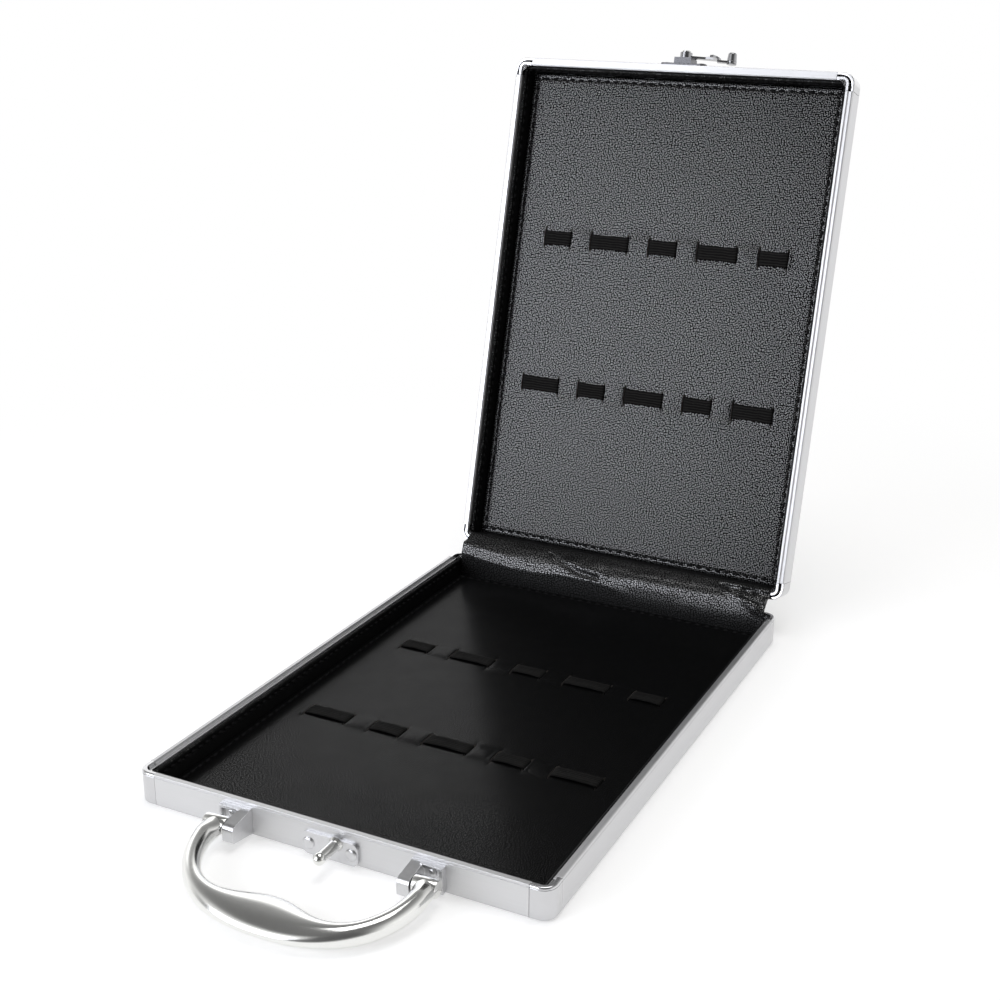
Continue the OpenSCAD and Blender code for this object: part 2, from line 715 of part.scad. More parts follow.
module hinge_rivets() {
    for (p = hinge_holes) translate([p[0], half_d + leaf_t, p[1]]) rotate([-90, 0, 0])
        rivet(leaf_t + wall_t, rivet_head_r, rivet_head_h);
}

// Soft strip over the hinge line

// Where a place on the shut lid, u in from the rear face and t above the mating edge, stands when open
function open_place(u, t) =
    let (y = -u - hinge_back, z = parting_gap / 2 + t)
    [hinge_y + y * cos(open_angle) + z * sin(open_angle), hinge_z - y * sin(open_angle) + z * cos(open_angle)];

// Middle line of the strip seen from the side: along the board, up the rear wall, over the gap, down the lid's wall
gusset_u = liner_u + gusset_t / 2 + 0.6;
gusset_line = [
    [half_d - gusset_u - 6, board_top + 0.3 + gusset_t / 2],
    [half_d - gusset_u - 1.2, board_top + 0.3 + gusset_t / 2],
    [half_d - gusset_u, board_top + 2.3],
    [half_d - gusset_u, base_h - 3],
    [half_d - gusset_u + 0.5, base_h + 0.5],
    [half_d - 2.4, base_h + 2],
    [hinge_y - barrel_r, hinge_z + barrel_r + 0.2],
    [hinge_y - 1, hinge_z + barrel_r + 3.4],
    [hinge_y + 0.3, hinge_z + 10],
    [hinge_y + 2.2, hinge_z + 10.8],
    open_place(gusset_u, 2.6),
    open_place(gusset_u, lid_h - board_top - 1)
];

function unit(v) = v / norm(v);
function turned(v) = [-v[1], v[0]];
function side_dir(p, i) =
    let (a = unit(p[max(i, 1)] - p[max(i, 1) - 1]), b = unit(p[min(i + 1, len(p) - 1)] - p[min(i, len(p) - 2)]))
    turned(unit(a + b));

module gusset_strip() {
    top = [for (i = [0 : len(gusset_line) - 1]) gusset_line[i] + side_dir(gusset_line, i) * gusset_t / 2];
    under = [for (i = [len(gusset_line) - 1 : -1 : 0]) gusset_line[i] - side_dir(gusset_line, i) * gusset_t / 2];
    rotate([90, 0, 90]) linear_extrude(case_w - 2 * (board_u + 0.2), center = true) polygon(concat(top, under));
}

// Sub-parts

module base_front_rail() { color("gainsboro") rail(0, base_h, false, concat(bracket_holes, catch_holes, [[post_x, post_z]])); }
module base_rear_rail() { color("gainsboro") rail(2, base_h, false, hinge_holes); }
module base_left_rail() { color("gainsboro") rail(3, base_h, false); }
module base_right_rail() { color("gainsboro") rail(1, base_h, false); }
module base_corner(sx, sy) { color("silver") corner_cap(sx, sy, base_h, false); }
module base_panel() { color("darkgray") panel(); }
module base_liner() { color([0.06, 0.06, 0.07]) liner(base_h); }
module base_insert_board() { color([0.08, 0.08, 0.09]) insert_board(base_front_row, base_rear_row, true); }
module base_elastic_front() { color([0.03, 0.03, 0.03]) elastic(base_front_row, true); }
module base_elastic_rear() { color([0.03, 0.03, 0.03]) elastic(base_rear_row, false); }
module base_corner_brackets() { color("slategray") corner_brackets(base_h); }

lid_latch_holes = [for (p = latch_holes) [p[0], lid_top - p[1]]];
lid_hinge_holes = [for (p = hinge_holes) [p[0], lid_top - 2 * hinge_z + p[1]]];

module lid_front_rail() {
    color("gainsboro") opened() as_lid() difference() {
        rail(0, lid_h, true, lid_latch_holes);
        on_side(0) wall_holes([[latch_x, lid_top - latch_z]], latch_pin_r + push_fit);
    }
}
module lid_rear_rail() { color("gainsboro") opened() as_lid() rail(2, lid_h, true, lid_hinge_holes); }
module lid_left_rail() { color("gainsboro") opened() as_lid() rail(3, lid_h, true); }
module lid_right_rail() { color("gainsboro") opened() as_lid() rail(1, lid_h, true); }
module lid_corner(sx, sy) { color("silver") opened() as_lid() corner_cap(sx, sy, lid_h, true); }
module lid_panel() { color("darkgray") opened() as_lid() panel(); }
module lid_liner() { color([0.06, 0.06, 0.07]) opened() as_lid() liner(lid_h); }
module lid_insert_board() {
    color([0.1, 0.1, 0.12]) opened() as_lid() insert_board(lid_front_row, lid_rear_row, false);
}
module lid_elastic_front() { color([0.03, 0.03, 0.03]) opened() as_lid() elastic(lid_front_row, false); }
module lid_elastic_rear() { color([0.03, 0.03, 0.03]) opened() as_lid() elastic(lid_rear_row, true); }
module lid_corner_brackets() { color("slategray") opened() as_lid() corner_brackets(lid_h); }

module handle_bracket_right() { color("lightgray") handle_bracket(); }
module handle_bracket_left() { color("lightgray") mirror([1, 0, 0]) handle_bracket(); }
module handle_bracket_rivets() { color("gray") front_rivets(bracket_holes, bracket_wall); }
module handle_pin_right() { color("gray") handle_pin(); }
module handle_pin_left() { color("gray") mirror([1, 0, 0]) handle_pin(); }
module handle() { color("whitesmoke") handle_body(); }

module catch_plate() { color("silver") face_plate(catch_x, catch_z, catch_holes, post_x, post_z, rivet_r + push_fit); }
module catch_post() { color("silver") post(); }
module catch_rivets() { color("gray") front_rivets(catch_holes, plate_t); }

module latch_plate() {
    color("silver") opened() face_plate(latch_x, latch_z, latch_holes, latch_x, latch_z, latch_pin_r + push_fit);
}
module latch_block() { color("gray") opened() block(); }
module latch_rivets() { color("gray") opened() front_rivets(latch_holes, plate_t); }
module latch_pivot_pin() { color("gray") opened() latch_pin(); }
module latch_arm() { color("silver") opened() arm(); }
module latch_knob() { color("silver") opened() knob(); }

module hinge_base_leaf_left() { color("silver") base_leaf(-hinge_x); }
module hinge_base_leaf_right() { color("silver") base_leaf(hinge_x); }
module hinge_lid_leaf_left() { color("silver") opened() lid_leaf(-hinge_x); }
module hinge_lid_leaf_right() { color("silver") opened() lid_leaf(hinge_x); }
module hinge_pin_left() { color("gray") hinge_pin(-hinge_x); }
module hinge_pin_right() { color("gray") hinge_pin(hinge_x); }
module hinge_base_rivets() { color("gray") hinge_rivets(); }
module hinge_lid_rivets() {
    color("gray") opened() translate([0, 0, 2 * hinge_z]) mirror([0, 0, 1]) hinge_rivets();
}
module hinge_gusset() { color([0.1, 0.1, 0.11]) gusset_strip(); }

base_front_rail();
base_rear_rail();
base_left_rail();
base_right_rail();
base_corner(-1, -1);  // base_corner_front_left
base_corner(1, -1);  // base_corner_front_right
base_corner(-1, 1);  // base_corner_rear_left
base_corner(1, 1);  // base_corner_rear_right
base_panel();
base_liner();
base_insert_board();
base_elastic_front();
base_elastic_rear();
base_corner_brackets();
lid_front_rail();
lid_rear_rail();
lid_left_rail();
lid_right_rail();
lid_corner(-1, -1);  // lid_corner_front_left
lid_corner(1, -1);  // lid_corner_front_right
lid_corner(-1, 1);  // lid_corner_rear_left
lid_corner(1, 1);  // lid_corner_rear_right
lid_panel();
lid_liner();
lid_insert_board();
lid_elastic_front();
lid_elastic_rear();
lid_corner_brackets();
handle_bracket_left();
handle_bracket_right();
handle_bracket_rivets();
handle_pin_left();
handle_pin_right();
handle();
catch_plate();
catch_post();
catch_rivets();
latch_plate();
latch_block();
latch_rivets();
latch_pivot_pin();
latch_arm();
latch_knob();
hinge_base_leaf_left();
hinge_base_leaf_right();
hinge_lid_leaf_left();
hinge_lid_leaf_right();
hinge_pin_left();
hinge_pin_right();
hinge_base_rivets();
hinge_lid_rivets();
hinge_gusset();
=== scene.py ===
import math

import bmesh
import bpy
from mathutils import Matrix, Vector, noise


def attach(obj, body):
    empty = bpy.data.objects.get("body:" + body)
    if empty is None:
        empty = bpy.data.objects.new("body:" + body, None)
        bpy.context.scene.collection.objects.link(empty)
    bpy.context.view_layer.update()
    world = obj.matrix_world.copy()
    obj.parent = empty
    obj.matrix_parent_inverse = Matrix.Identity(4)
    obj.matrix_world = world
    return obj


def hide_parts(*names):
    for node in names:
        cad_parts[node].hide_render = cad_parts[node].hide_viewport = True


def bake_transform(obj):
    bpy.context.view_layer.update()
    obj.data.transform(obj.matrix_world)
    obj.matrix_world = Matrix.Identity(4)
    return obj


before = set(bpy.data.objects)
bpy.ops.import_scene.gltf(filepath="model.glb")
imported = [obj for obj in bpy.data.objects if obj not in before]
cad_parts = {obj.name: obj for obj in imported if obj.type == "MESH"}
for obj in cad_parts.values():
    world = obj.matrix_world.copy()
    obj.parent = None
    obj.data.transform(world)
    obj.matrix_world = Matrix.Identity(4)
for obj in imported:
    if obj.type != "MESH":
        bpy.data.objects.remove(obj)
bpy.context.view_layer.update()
scene = bpy.context.scene
MM = 0.001

# Sizes of the case, in millimetres and degrees, in the frame of the CAD model

HALF_W = 105.0
HALF_D = 150.0
CORNER_R = 6.5
CAP_LEG = 10.2
CAP_SHELL = 1.5
TONGUE_U = 2.8
BASE_H = 16.5
LID_TOP = 33.3
HINGE_Y = 155.0
HINGE_Z = 16.65
LID_FACE = HINGE_Z + 0.15
OPEN_ANGLE = math.radians(104.5)
PANEL_TOP = 2.4
BOARD_TOP = 4.7
BOARD_EDGE = 6.85
BOARD_LAP = 0.33
LID_BOARD_LONGER = 0.85
LINER_U = 4.45
LINER_T = 2.0
LINER_TOP = 14.3
LOOP_PITCH = 34.5
NARROW_LOOP = 18.0
WIDE_LOOP = 25.0
ELASTIC_W = 9.0
ELASTIC_T = 0.7
SLIT_LEN = 13.0
SLIT_W = 1.4
SLIT_INSET = 0.45
HEM = 3.0
WALL_SEAM = 11.1
GUSSET_HALF = 97.95
BASE_ROWS = ((-47.5, True), (41.0, False))
LID_ROWS = ((-44.3, False), (46.0, True))
HANDLE_PIVOT = (0.0, -159.6, 8.7)
HANDLE_DROOP = 3.6
EYE_IN = 47.1
EYE_OUT = 58.3
EYE_R = 4.0


def lid_stands(point):
    """Where a point of the shut lid, in millimetres, is on the open lid."""
    x, y, z = point
    dy, dz = y - HINGE_Y, z - HINGE_Z
    c, s = math.cos(OPEN_ANGLE), math.sin(OPEN_ANGLE)
    return Vector((x, HINGE_Y + dy * c + dz * s, HINGE_Z - dy * s + dz * c))


def base_place(x, y, height):
    """A point of the base half at a height above its outer skin."""
    return Vector((x, y, height))


def lid_place(x, y, height):
    """A point of the lid half at a height above its outer skin, on the open lid."""
    return lid_stands((x, y, LID_TOP - height))


def loop_spans(wide_first):
    """The middle and half length of each loop of a row."""
    spans = []
    for i in range(5):
        wide = (i % 2 == 0) == wide_first
        spans.append(((i - 2) * LOOP_PITCH, (WIDE_LOOP if wide else NARROW_LOOP) / 2))
    return spans


# Node trees

def rule(operation, flip=False):
    """A method that puts a number, and any others, through a Math node."""
    return lambda self, *others: self.apply(operation, *others, flip=flip)


class Amount:
    """A number inside a node tree, so that a rule can be written as plain sums."""

    def __init__(self, tree, socket):
        self.tree, self.socket = tree, socket

    def apply(self, operation, *others, flip=False):
        terms = [self, *others]
        if flip:
            terms.reverse()
        node = add(self.tree, "ShaderNodeMath", dict(enumerate(terms)), operation=operation)
        return Amount(self.tree, node.outputs[0])

    __add__, __sub__, __mul__, __truediv__, __pow__ = (
        rule(operation) for operation in ("ADD", "SUBTRACT", "MULTIPLY", "DIVIDE", "POWER"))
    at_least, at_most, size, sign, sine, cosine = (
        rule(operation) for operation in ("MAXIMUM", "MINIMUM", "ABSOLUTE", "SIGN", "SINE", "COSINE"))
    __rsub__ = rule("SUBTRACT", flip=True)
    __rmul__ = __mul__

    def eased(self):
        t = self.at_least(0.0).at_most(1.0)
        return t * t * (3.0 - 2.0 * t)


def wire(tree, node, inputs):
    """Sets the node's inputs: an amount or a socket is linked, anything else is the input's own value."""
    for key, value in inputs.items():
        value = value.socket if isinstance(value, Amount) else value
        if isinstance(value, bpy.types.NodeSocket):
            tree.links.new(value, node.inputs[key])
        else:
            node.inputs[key].default_value = value
    return node


def add(tree, kind, inputs=None, **settings):
    """A new node with its settings and inputs."""
    node = tree.nodes.new(kind)
    for key, value in settings.items():
        setattr(node, key, value)
    return wire(tree, node, inputs or {})


def ramp(tree, value, stops):
    """A colour ramp over the value; each stop is a place and a grey or a colour."""
    node = add(tree, "ShaderNodeValToRGB", {0: value})
    while len(node.color_ramp.elements) < len(stops):
        node.color_ramp.elements.new(0.5)
    for element, (at, tone) in zip(node.color_ramp.elements, stops):
        element.position = at
        element.color = (tone, tone, tone, 1) if isinstance(tone, (int, float)) else (*tone, 1)
    return node.outputs[0]


def speckle(tree, where, scale, detail, roughness=0.5):
    """The outputs of a noise texture."""
    return add(tree, "ShaderNodeTexNoise", {
        "Vector": where, "Scale": scale, "Detail": detail, "Roughness": roughness}).outputs


def relief(tree, height, depth):
    """The normal of a surface whose height, from 0 to 1, stands for a depth in metres."""
    return add(tree, "ShaderNodeBump", {"Height": height, "Strength": 1.0, "Distance": depth}).outputs[0]


def object_place(tree):
    return add(tree, "ShaderNodeTexCoord").outputs["Object"]


def new_inputs(tree, inputs):
    for label, kind, default in inputs:
        socket = tree.interface.new_socket(label, in_out="INPUT", socket_type="NodeSocket" + kind)
        if default is not None:
            socket.default_value = default


def shader_group(name, inputs, outputs):
    """A group; returns it, its input sockets by name and its output node."""
    group = bpy.data.node_groups.new(name, "ShaderNodeTree")
    new_inputs(group, inputs)
    for label, kind in outputs:
        group.interface.new_socket(label, in_out="OUTPUT", socket_type="NodeSocket" + kind)
    return group, group.nodes.new("NodeGroupInput").outputs, group.nodes.new("NodeGroupOutput")


def new_material(name):
    """A material with one plain shader; returns it, its tree and the shader."""
    material = bpy.data.materials.new(name)
    material.use_nodes = True
    tree = material.node_tree
    tree.nodes.clear()
    shader = add(tree, "ShaderNodeBsdfPrincipled")
    add(tree, "ShaderNodeOutputMaterial", {0: shader.outputs[0]})
    return material, tree, shader


# Finishes shared by several materials

def drawn_grain_group():
    """Fine lines left by drawing or brushing, with handling marks over them."""
    group, given, end = shader_group(
        "drawn_grain",
        (("Vector", "Vector", None), ("Line Scale", "Vector", (20, 900, 900)), ("Depth", "Float", 0.00002)),
        (("Normal", "Vector"), ("Lines", "Float"), ("Smudge", "Float")))
    drawn = add(group, "ShaderNodeMapping", {"Vector": given["Vector"], "Scale": given["Line Scale"]})
    lines = speckle(group, drawn.outputs[0], 1.0, 4.0, 0.6)[0]
    smudge = speckle(group, given["Vector"], 34.0, 5.0, 0.55)[0]
    wire(group, end, {"Normal": relief(group, lines, given["Depth"]), "Lines": lines, "Smudge": smudge})
    return group


def pebble_group():
    """Small rounded pebbles of embossed leatherette with fine creases between them."""
    group, given, end = shader_group(
        "pebble_grain",
        (("Vector", "Vector", None), ("Pebbles", "Float", 720.0), ("Depth", "Float", 0.00005)),
        (("Normal", "Vector"), ("Pebble", "Float"), ("Wear", "Float")))
    where = given["Vector"]
    bend = speckle(group, where, 300.0, 2.0)["Color"]
    shift = add(group, "ShaderNodeVectorMath", {0: bend, 1: (0.0006, 0.0006, 0.0)}, operation="MULTIPLY")
    moved = add(group, "ShaderNodeVectorMath", {0: where, 1: shift.outputs[0]}, operation="ADD")
    cells = add(group, "ShaderNodeTexVoronoi", {
        "Vector": moved.outputs[0], "Scale": given["Pebbles"], "Randomness": 0.65}, voronoi_dimensions="2D")
    pebble = ramp(group, cells.outputs["Distance"], ((0.14, 1.0), (0.32, 0.45), (0.44, 0.0)))
    height = Amount(group, pebble) + Amount(group, speckle(group, where, 2600.0, 2.0)[0]) * 0.3
    wire(group, end, {"Normal": relief(group, height, given["Depth"]), "Pebble": pebble,
                      "Wear": speckle(group, where, 60.0, 3.0)[0]})
    return group


DRAWN = drawn_grain_group()
PEBBLE = pebble_group()


def metal(name, tone, dark, rough, spread, line_scale, depth):
    """A metal with grain: tone and dark are its colour clean and in the grain, rough is its roughness and
    spread how much that varies, and depth is the grain's, in metres."""
    material, tree, shader = new_material(name)
    grain = add(tree, "ShaderNodeGroup", node_tree=DRAWN)
    wire(tree, grain, {"Vector": object_place(tree), "Line Scale": line_scale, "Depth": depth})
    lines, smudge = Amount(tree, grain.outputs["Lines"]), Amount(tree, grain.outputs["Smudge"])
    wire(tree, shader, {
        "Base Color": ramp(tree, lines * 0.6 + smudge * 0.4, ((0.25, dark), (0.7, tone))),
        "Roughness": (lines - 0.5) * spread + (smudge - 0.5) * spread + rough,
        "Normal": grain.outputs["Normal"], "Metallic": 1.0})
    return material


def leatherette(name, pebbles, depth, rough, gloss, along_gloss, coat, under, tucked=None):
    """Black coated cloth. The coat shines on its pebbles by gloss and not in its creases, and by along_gloss
    where it is seen at a low angle. Its roughness is rough and its index coat; under is the shine of the
    cloth below it. Tucked gives, for places along the cloth in metres, how much of the shine is left: a
    painted shade that dims the shine where the cloth lies in shade."""
    tone, dark = (0.002, 0.0022, 0.0026), (0.001, 0.001, 0.0011)
    material, tree, shader = new_material(name)
    where = add(tree, "ShaderNodeAttribute", attribute_name="flat_place").outputs["Vector"]
    along = Amount(tree, add(tree, "ShaderNodeLayerWeight", {"Blend": 0.5}).outputs["Facing"])
    low_view = ((along - 0.4) / 0.25).eased()
    grain = add(tree, "ShaderNodeGroup", node_tree=PEBBLE)
    wire(tree, grain, {"Vector": where, "Pebbles": pebbles, "Depth": (1.0 - low_view * 0.8) * depth})
    pebble, wear = Amount(tree, grain.outputs["Pebble"]), Amount(tree, grain.outputs["Wear"])
    shine = pebble * pebble * pebble * gloss
    shine = shine + ((pebble * 0.5 + 0.75) * along_gloss - shine) * low_view
    # The tucked ramp is painted shade: it cuts the coat's shine at the ends of the hinge strip, which lie in
    # shade.
    if tucked:
        run = Amount(tree, add(tree, "ShaderNodeSeparateXYZ", {"Vector": where}).outputs[1]) / PAINTED_SHADE_SPAN
        stops = [(at / PAINTED_SHADE_SPAN, value) for at, value in tucked]
        shine = shine * Amount(tree, ramp(tree, run, stops))
    wire(tree, shader, {
        "Base Color": ramp(tree, pebble * 0.7 + wear * 0.3, ((0.2, dark), (0.8, tone))),
        "Roughness": 0.6 - pebble * 0.1 + (wear - 0.5) * 0.2,
        "Coat Weight": shine.at_most(1.0), "Normal": grain.outputs["Normal"],
        "Specular IOR Level": under, "Coat Roughness": rough, "Coat IOR": coat})
    return material


def dull_material(name, scale, detail, dark, light, rough, under, depth=None):
    """A dull material with a fine fibre: rough is its ramp of roughness, under its shine."""
    material, tree, shader = new_material(name)
    fibre = speckle(tree, object_place(tree), scale, detail)[0]
    wire(tree, shader, {
        "Base Color": ramp(tree, fibre, ((0.3, dark), (0.7, light))),
        "Roughness": ramp(tree, fibre, rough), "Specular IOR Level": under})
    if depth:
        wire(tree, shader, {"Normal": relief(tree, fibre, depth)})
    return material


def elastic_material():
    """Woven elastic: a few cords along the strip under a cover of thread."""
    material, tree, shader = new_material("ribbed_elastic")
    where = object_place(tree)
    across = Amount(tree, add(tree, "ShaderNodeAttribute", attribute_name="across").outputs["Fac"])
    fuzz = speckle(tree, where, 500.0, 4.0)[0]
    cords = (across * (math.pi * 5.5) + (Amount(tree, fuzz) - 0.5) * 2.4).cosine() * 0.5 + 0.5
    mapping = add(tree, "ShaderNodeMapping", {"Vector": where, "Scale": (2400, 700, 700)})
    thread = speckle(tree, mapping.outputs[0], 1.0, 3.0)[0]
    mixed = cords * 0.65 + Amount(tree, thread) * 0.35
    wire(tree, shader, {
        "Base Color": ramp(tree, mixed, ((0.2, (0.001, 0.001, 0.001)), (0.9, (0.013, 0.0125, 0.012)))),
        "Roughness": ramp(tree, fuzz, ((0.2, 0.7), (0.8, 0.9))),
        "Normal": relief(tree, mixed, 0.00015), "Specular IOR Level": 0.12})
    return material


# The grain's scale along x, y and z: low along the lines, high across them
ALONG_X = (12, 1400, 1400)
ALONG_Y = (1400, 12, 1400)
ALONG_LID = (1400, 300, 12)
ALONG_PANEL = (900, 12, 900)
EVEN = (500, 500, 500)
# The side rails are the same satin aluminium as the front and rear rails; their lighter tones, lightest on
# the lid, are painted light for how the lamps fall on them.
SATIN_X = metal("satin_rail_across", (0.66, 0.66, 0.665), (0.60, 0.60, 0.605),
                0.45, 0.14, ALONG_X, 0.000012)
SATIN_Y_PAINTED_LIGHT = metal("satin_rail_along_base_painted_light", (0.69, 0.69, 0.70), (0.63, 0.63, 0.64),
                0.45, 0.14, ALONG_Y, 0.000012)
SATIN_LID_PAINTED_LIGHT = metal("satin_rail_along_lid_painted_light", (0.74, 0.74, 0.75), (0.68, 0.68, 0.69),
                  0.45, 0.14, ALONG_LID, 0.000012)
CORNER = metal("corner_cap_satin", (0.62, 0.62, 0.63), (0.58, 0.58, 0.59), 0.2, 0.08, EVEN, 0.000003)
PANEL = metal("panel_skin", (0.66, 0.67, 0.68), (0.58, 0.59, 0.60), 0.42, 0.2, ALONG_PANEL, 0.00002)
CHROME = metal("polished_chrome", (0.82, 0.82, 0.80), (0.78, 0.78, 0.76), 0.17, 0.05, EVEN, 0.000002)
PLATED = metal("cast_plated", (0.66, 0.66, 0.67), (0.58, 0.58, 0.59), 0.3, 0.1, EVEN, 0.000006)
# The latch's plated metals are painted darker than the plated finish elsewhere: painted shade for the dark
# room that the latch reflects.
LATCH_PLATED_PAINTED_SHADE = metal("latch_plated_painted_shade", (0.40, 0.40, 0.41), (0.30, 0.30, 0.31), 0.22, 0.1, EVEN, 0.000006)
LATCH_PLATE_PAINTED_SHADE = metal("latch_plate_painted_shade", (0.17, 0.17, 0.18), (0.11, 0.11, 0.115), 0.3, 0.15, EVEN, 0.000006)
ZINC = metal("zinc_plated_steel", (0.60, 0.60, 0.59), (0.50, 0.50, 0.49), 0.3, 0.2, EVEN, 0.00002)

# The strip over the hinge line has its shine cut at both ends of its run: painted shade for its foot on the
# base and for the recess under the lid board's edge
GUSSET_RUN = 0.0464
PAINTED_SHADE_SPAN = 0.06
PAINTED_SHADE_ENDS = ((0.0, 0.15), (0.006, 0.3), (0.012, 0.6), (0.02, 1.0),
          (GUSSET_RUN - 0.011, 1.0), (GUSSET_RUN - 0.0085, 0.2), (GUSSET_RUN, 0.25))
LID_LEATHER = leatherette("leatherette_lid_board", pebbles=1020.0, depth=0.00012, rough=0.32,
                          gloss=1.0, along_gloss=0.12, coat=2.9, under=0.03)
BASE_LEATHER = leatherette("leatherette_base_board", pebbles=1000.0, depth=0.00006, rough=0.2,
                           gloss=0.6, along_gloss=0.084, coat=2.4, under=0.05)
WALL_LEATHER = leatherette("leatherette_wall", pebbles=1000.0, depth=0.00007, rough=0.23,
                           gloss=0.5, along_gloss=0.12, coat=2.4, under=0.15)
STRIP_LEATHER = leatherette("leatherette_strip", pebbles=1000.0, depth=0.00012, rough=0.3,
                            gloss=1.4, along_gloss=0.42, coat=2.8, under=0.15, tucked=PAINTED_SHADE_ENDS)

# The pale raw edge of the cloth inside the slits, black sewing thread, and near-black painted shade for the
# walls of the open gap in each lid cap
BACKING = dull_material("backing_raw_edge", 2200.0, 3.0, (0.05, 0.045, 0.04), (0.2, 0.185, 0.17),
                        ((0.0, 0.75), (1.0, 0.95)), 0.5, 0.0002)
ELASTIC = elastic_material()
THREAD = dull_material("sewing_thread", 3000.0, 2.0, (0.003, 0.003, 0.003), (0.009, 0.009, 0.01),
                       ((0.2, 0.6), (0.8, 0.85)), 0.1, 0.00008)
CAP_GAP_PAINTED_SHADE = dull_material("cap_gap_painted_shade", 900.0, 3.0, (0.004, 0.004, 0.004), (0.02, 0.02, 0.02),
                           ((0.2, 0.7), (0.8, 0.9)), 0.2)


# Making pieces

def link_piece(name, data, *materials):
    """A new object in the scene, with the materials on its mesh."""
    piece = bpy.data.objects.new(name, data)
    scene.collection.objects.link(piece)
    for material in materials:
        data.materials.append(material)
    return piece


def shade(mesh, sharp=None):
    """Smooth shading, but for edges sharper than an angle in degrees."""
    mesh.shade_smooth()
    if sharp is not None:
        mesh.set_sharp_from_angle(angle=math.radians(sharp))


def face_outward(piece):
    """Turns the faces of a closed piece outward."""
    work = bmesh.new()
    work.from_mesh(piece.data)
    bmesh.ops.recalc_face_normals(work, faces=work.faces)
    work.to_mesh(piece.data)
    work.free()


def mesh_from(name, points, faces, *materials, sharp=None, marks=None, flat=None):
    """A piece from points in millimetres and faces; marks gives the material number of each face, flat the
    place of each point on the cloth before it is fitted."""
    mesh = bpy.data.meshes.new(name)
    mesh.from_pydata([Vector(p) * MM for p in points], [], faces)
    mesh.validate()
    shade(mesh, sharp)
    piece = link_piece(name, mesh, *materials)
    if marks:
        for polygon, mark in zip(mesh.polygons, marks):
            polygon.material_index = mark
    if flat:
        places = mesh.attributes.new("flat_place", "FLOAT_VECTOR", "POINT")
        places.data.foreach_set("vector", [c * MM for u, v in flat for c in (u, v, 0.0)])
    return piece


def curve_from(name, lines):
    """A curve with one open spline through each line of points, in metres."""
    path = bpy.data.curves.new(name, "CURVE")
    path.dimensions = "3D"
    for line in lines:
        spline = path.splines.new("POLY")
        spline.points.add(len(line) - 1)
        for point, spot in zip(spline.points, line):
            point.co = (*spot, 1)
    return link_piece(name, path)


def settled(piece):
    """The piece with its modifiers made into plain mesh."""
    bpy.context.view_layer.update()
    graph = bpy.context.evaluated_depsgraph_get()
    done = bpy.data.meshes.new_from_object(
        piece.evaluated_get(graph), preserve_all_data_layers=True, depsgraph=graph)
    if None in done.materials[:]:
        finish = next(m for m in done.materials if m)
        done.materials.clear()
        done.materials.append(finish)
        done.polygons.foreach_set("material_index", [0] * len(done.polygons))
    old = piece.data
    piece.modifiers.clear()
    if piece.type == "MESH":
        piece.data = done
        if old.users == 0:
            bpy.data.meshes.remove(old)
        return piece
    name = piece.name
    bpy.data.objects.remove(piece)
    return link_piece(name, done)


def part_of(piece, body, slot, *nodes):
    """Puts the piece on its body, in place of the CAD nodes named. The slot is not used."""
    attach(piece, body)
    if nodes:
        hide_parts(*nodes)


def on_outer_edge(point, half):
    """Whether a point of a frame piece, in metres, is on the outer edge of its mating face."""
    x, y, z = (c / MM for c in point)
    if half == "lid":
        dy, dz = y - HINGE_Y, z - HINGE_Z
        c, s = math.cos(OPEN_ANGLE), math.sin(OPEN_ANGLE)
        y, z = HINGE_Y + dy * c - dz * s, 2 * HINGE_Z - (HINGE_Z + dy * s + dz * c)
    slack_up, slack_out = 0.02, 0.05
    u, v = abs(x) - (HALF_W - CORNER_R), abs(y) - (HALF_D - CORNER_R)
    reach = math.hypot(u, v) if u > 0 and v > 0 else max(u, v)
    return z >= BASE_H - slack_up and reach > CORNER_R - slack_out


def cap_gap(sx, sy):
    """A bent bar that cuts the open gap between a lid cap's shell and the tongue. Its near-black finish
    passes to the gap's walls as painted shade.
    """
    past, depth = 0.5, 2.3

    def bent(inset):
        turns = [math.radians(180 + 90 * i / 8) for i in range(9)]
        r = CORNER_R - inset
        curve = [(CORNER_R + r * math.cos(t), CORNER_R + r * math.sin(t)) for t in turns]
        return [(inset, CAP_LEG + past)] + curve + [(CAP_LEG + past, inset)]

    outer = bent(CAP_SHELL)
    ring = outer + bent(TONGUE_U - 0.05)[::-1]
    low, high = HINGE_Z - past, LID_FACE + depth
    points = [lid_stands((sx * (HALF_W - u), sy * (HALF_D - v), z)) for z in (low, high) for u, v in ring]
    count, half = len(ring), len(outer)
    faces = []
    for level in (0, count):
        for i in range(half - 1):
            faces.append((level + i, level + i + 1, level + count - 2 - i, level + count - 1 - i))
    faces += [(i, (i + 1) % count, count + (i + 1) % count, count + i) for i in range(count)]
    bar = mesh_from("cap_gap_cutter", points, faces, CAP_GAP_PAINTED_SHADE)
    face_outward(bar)
    return bar


SHARP_METAL = 32.0


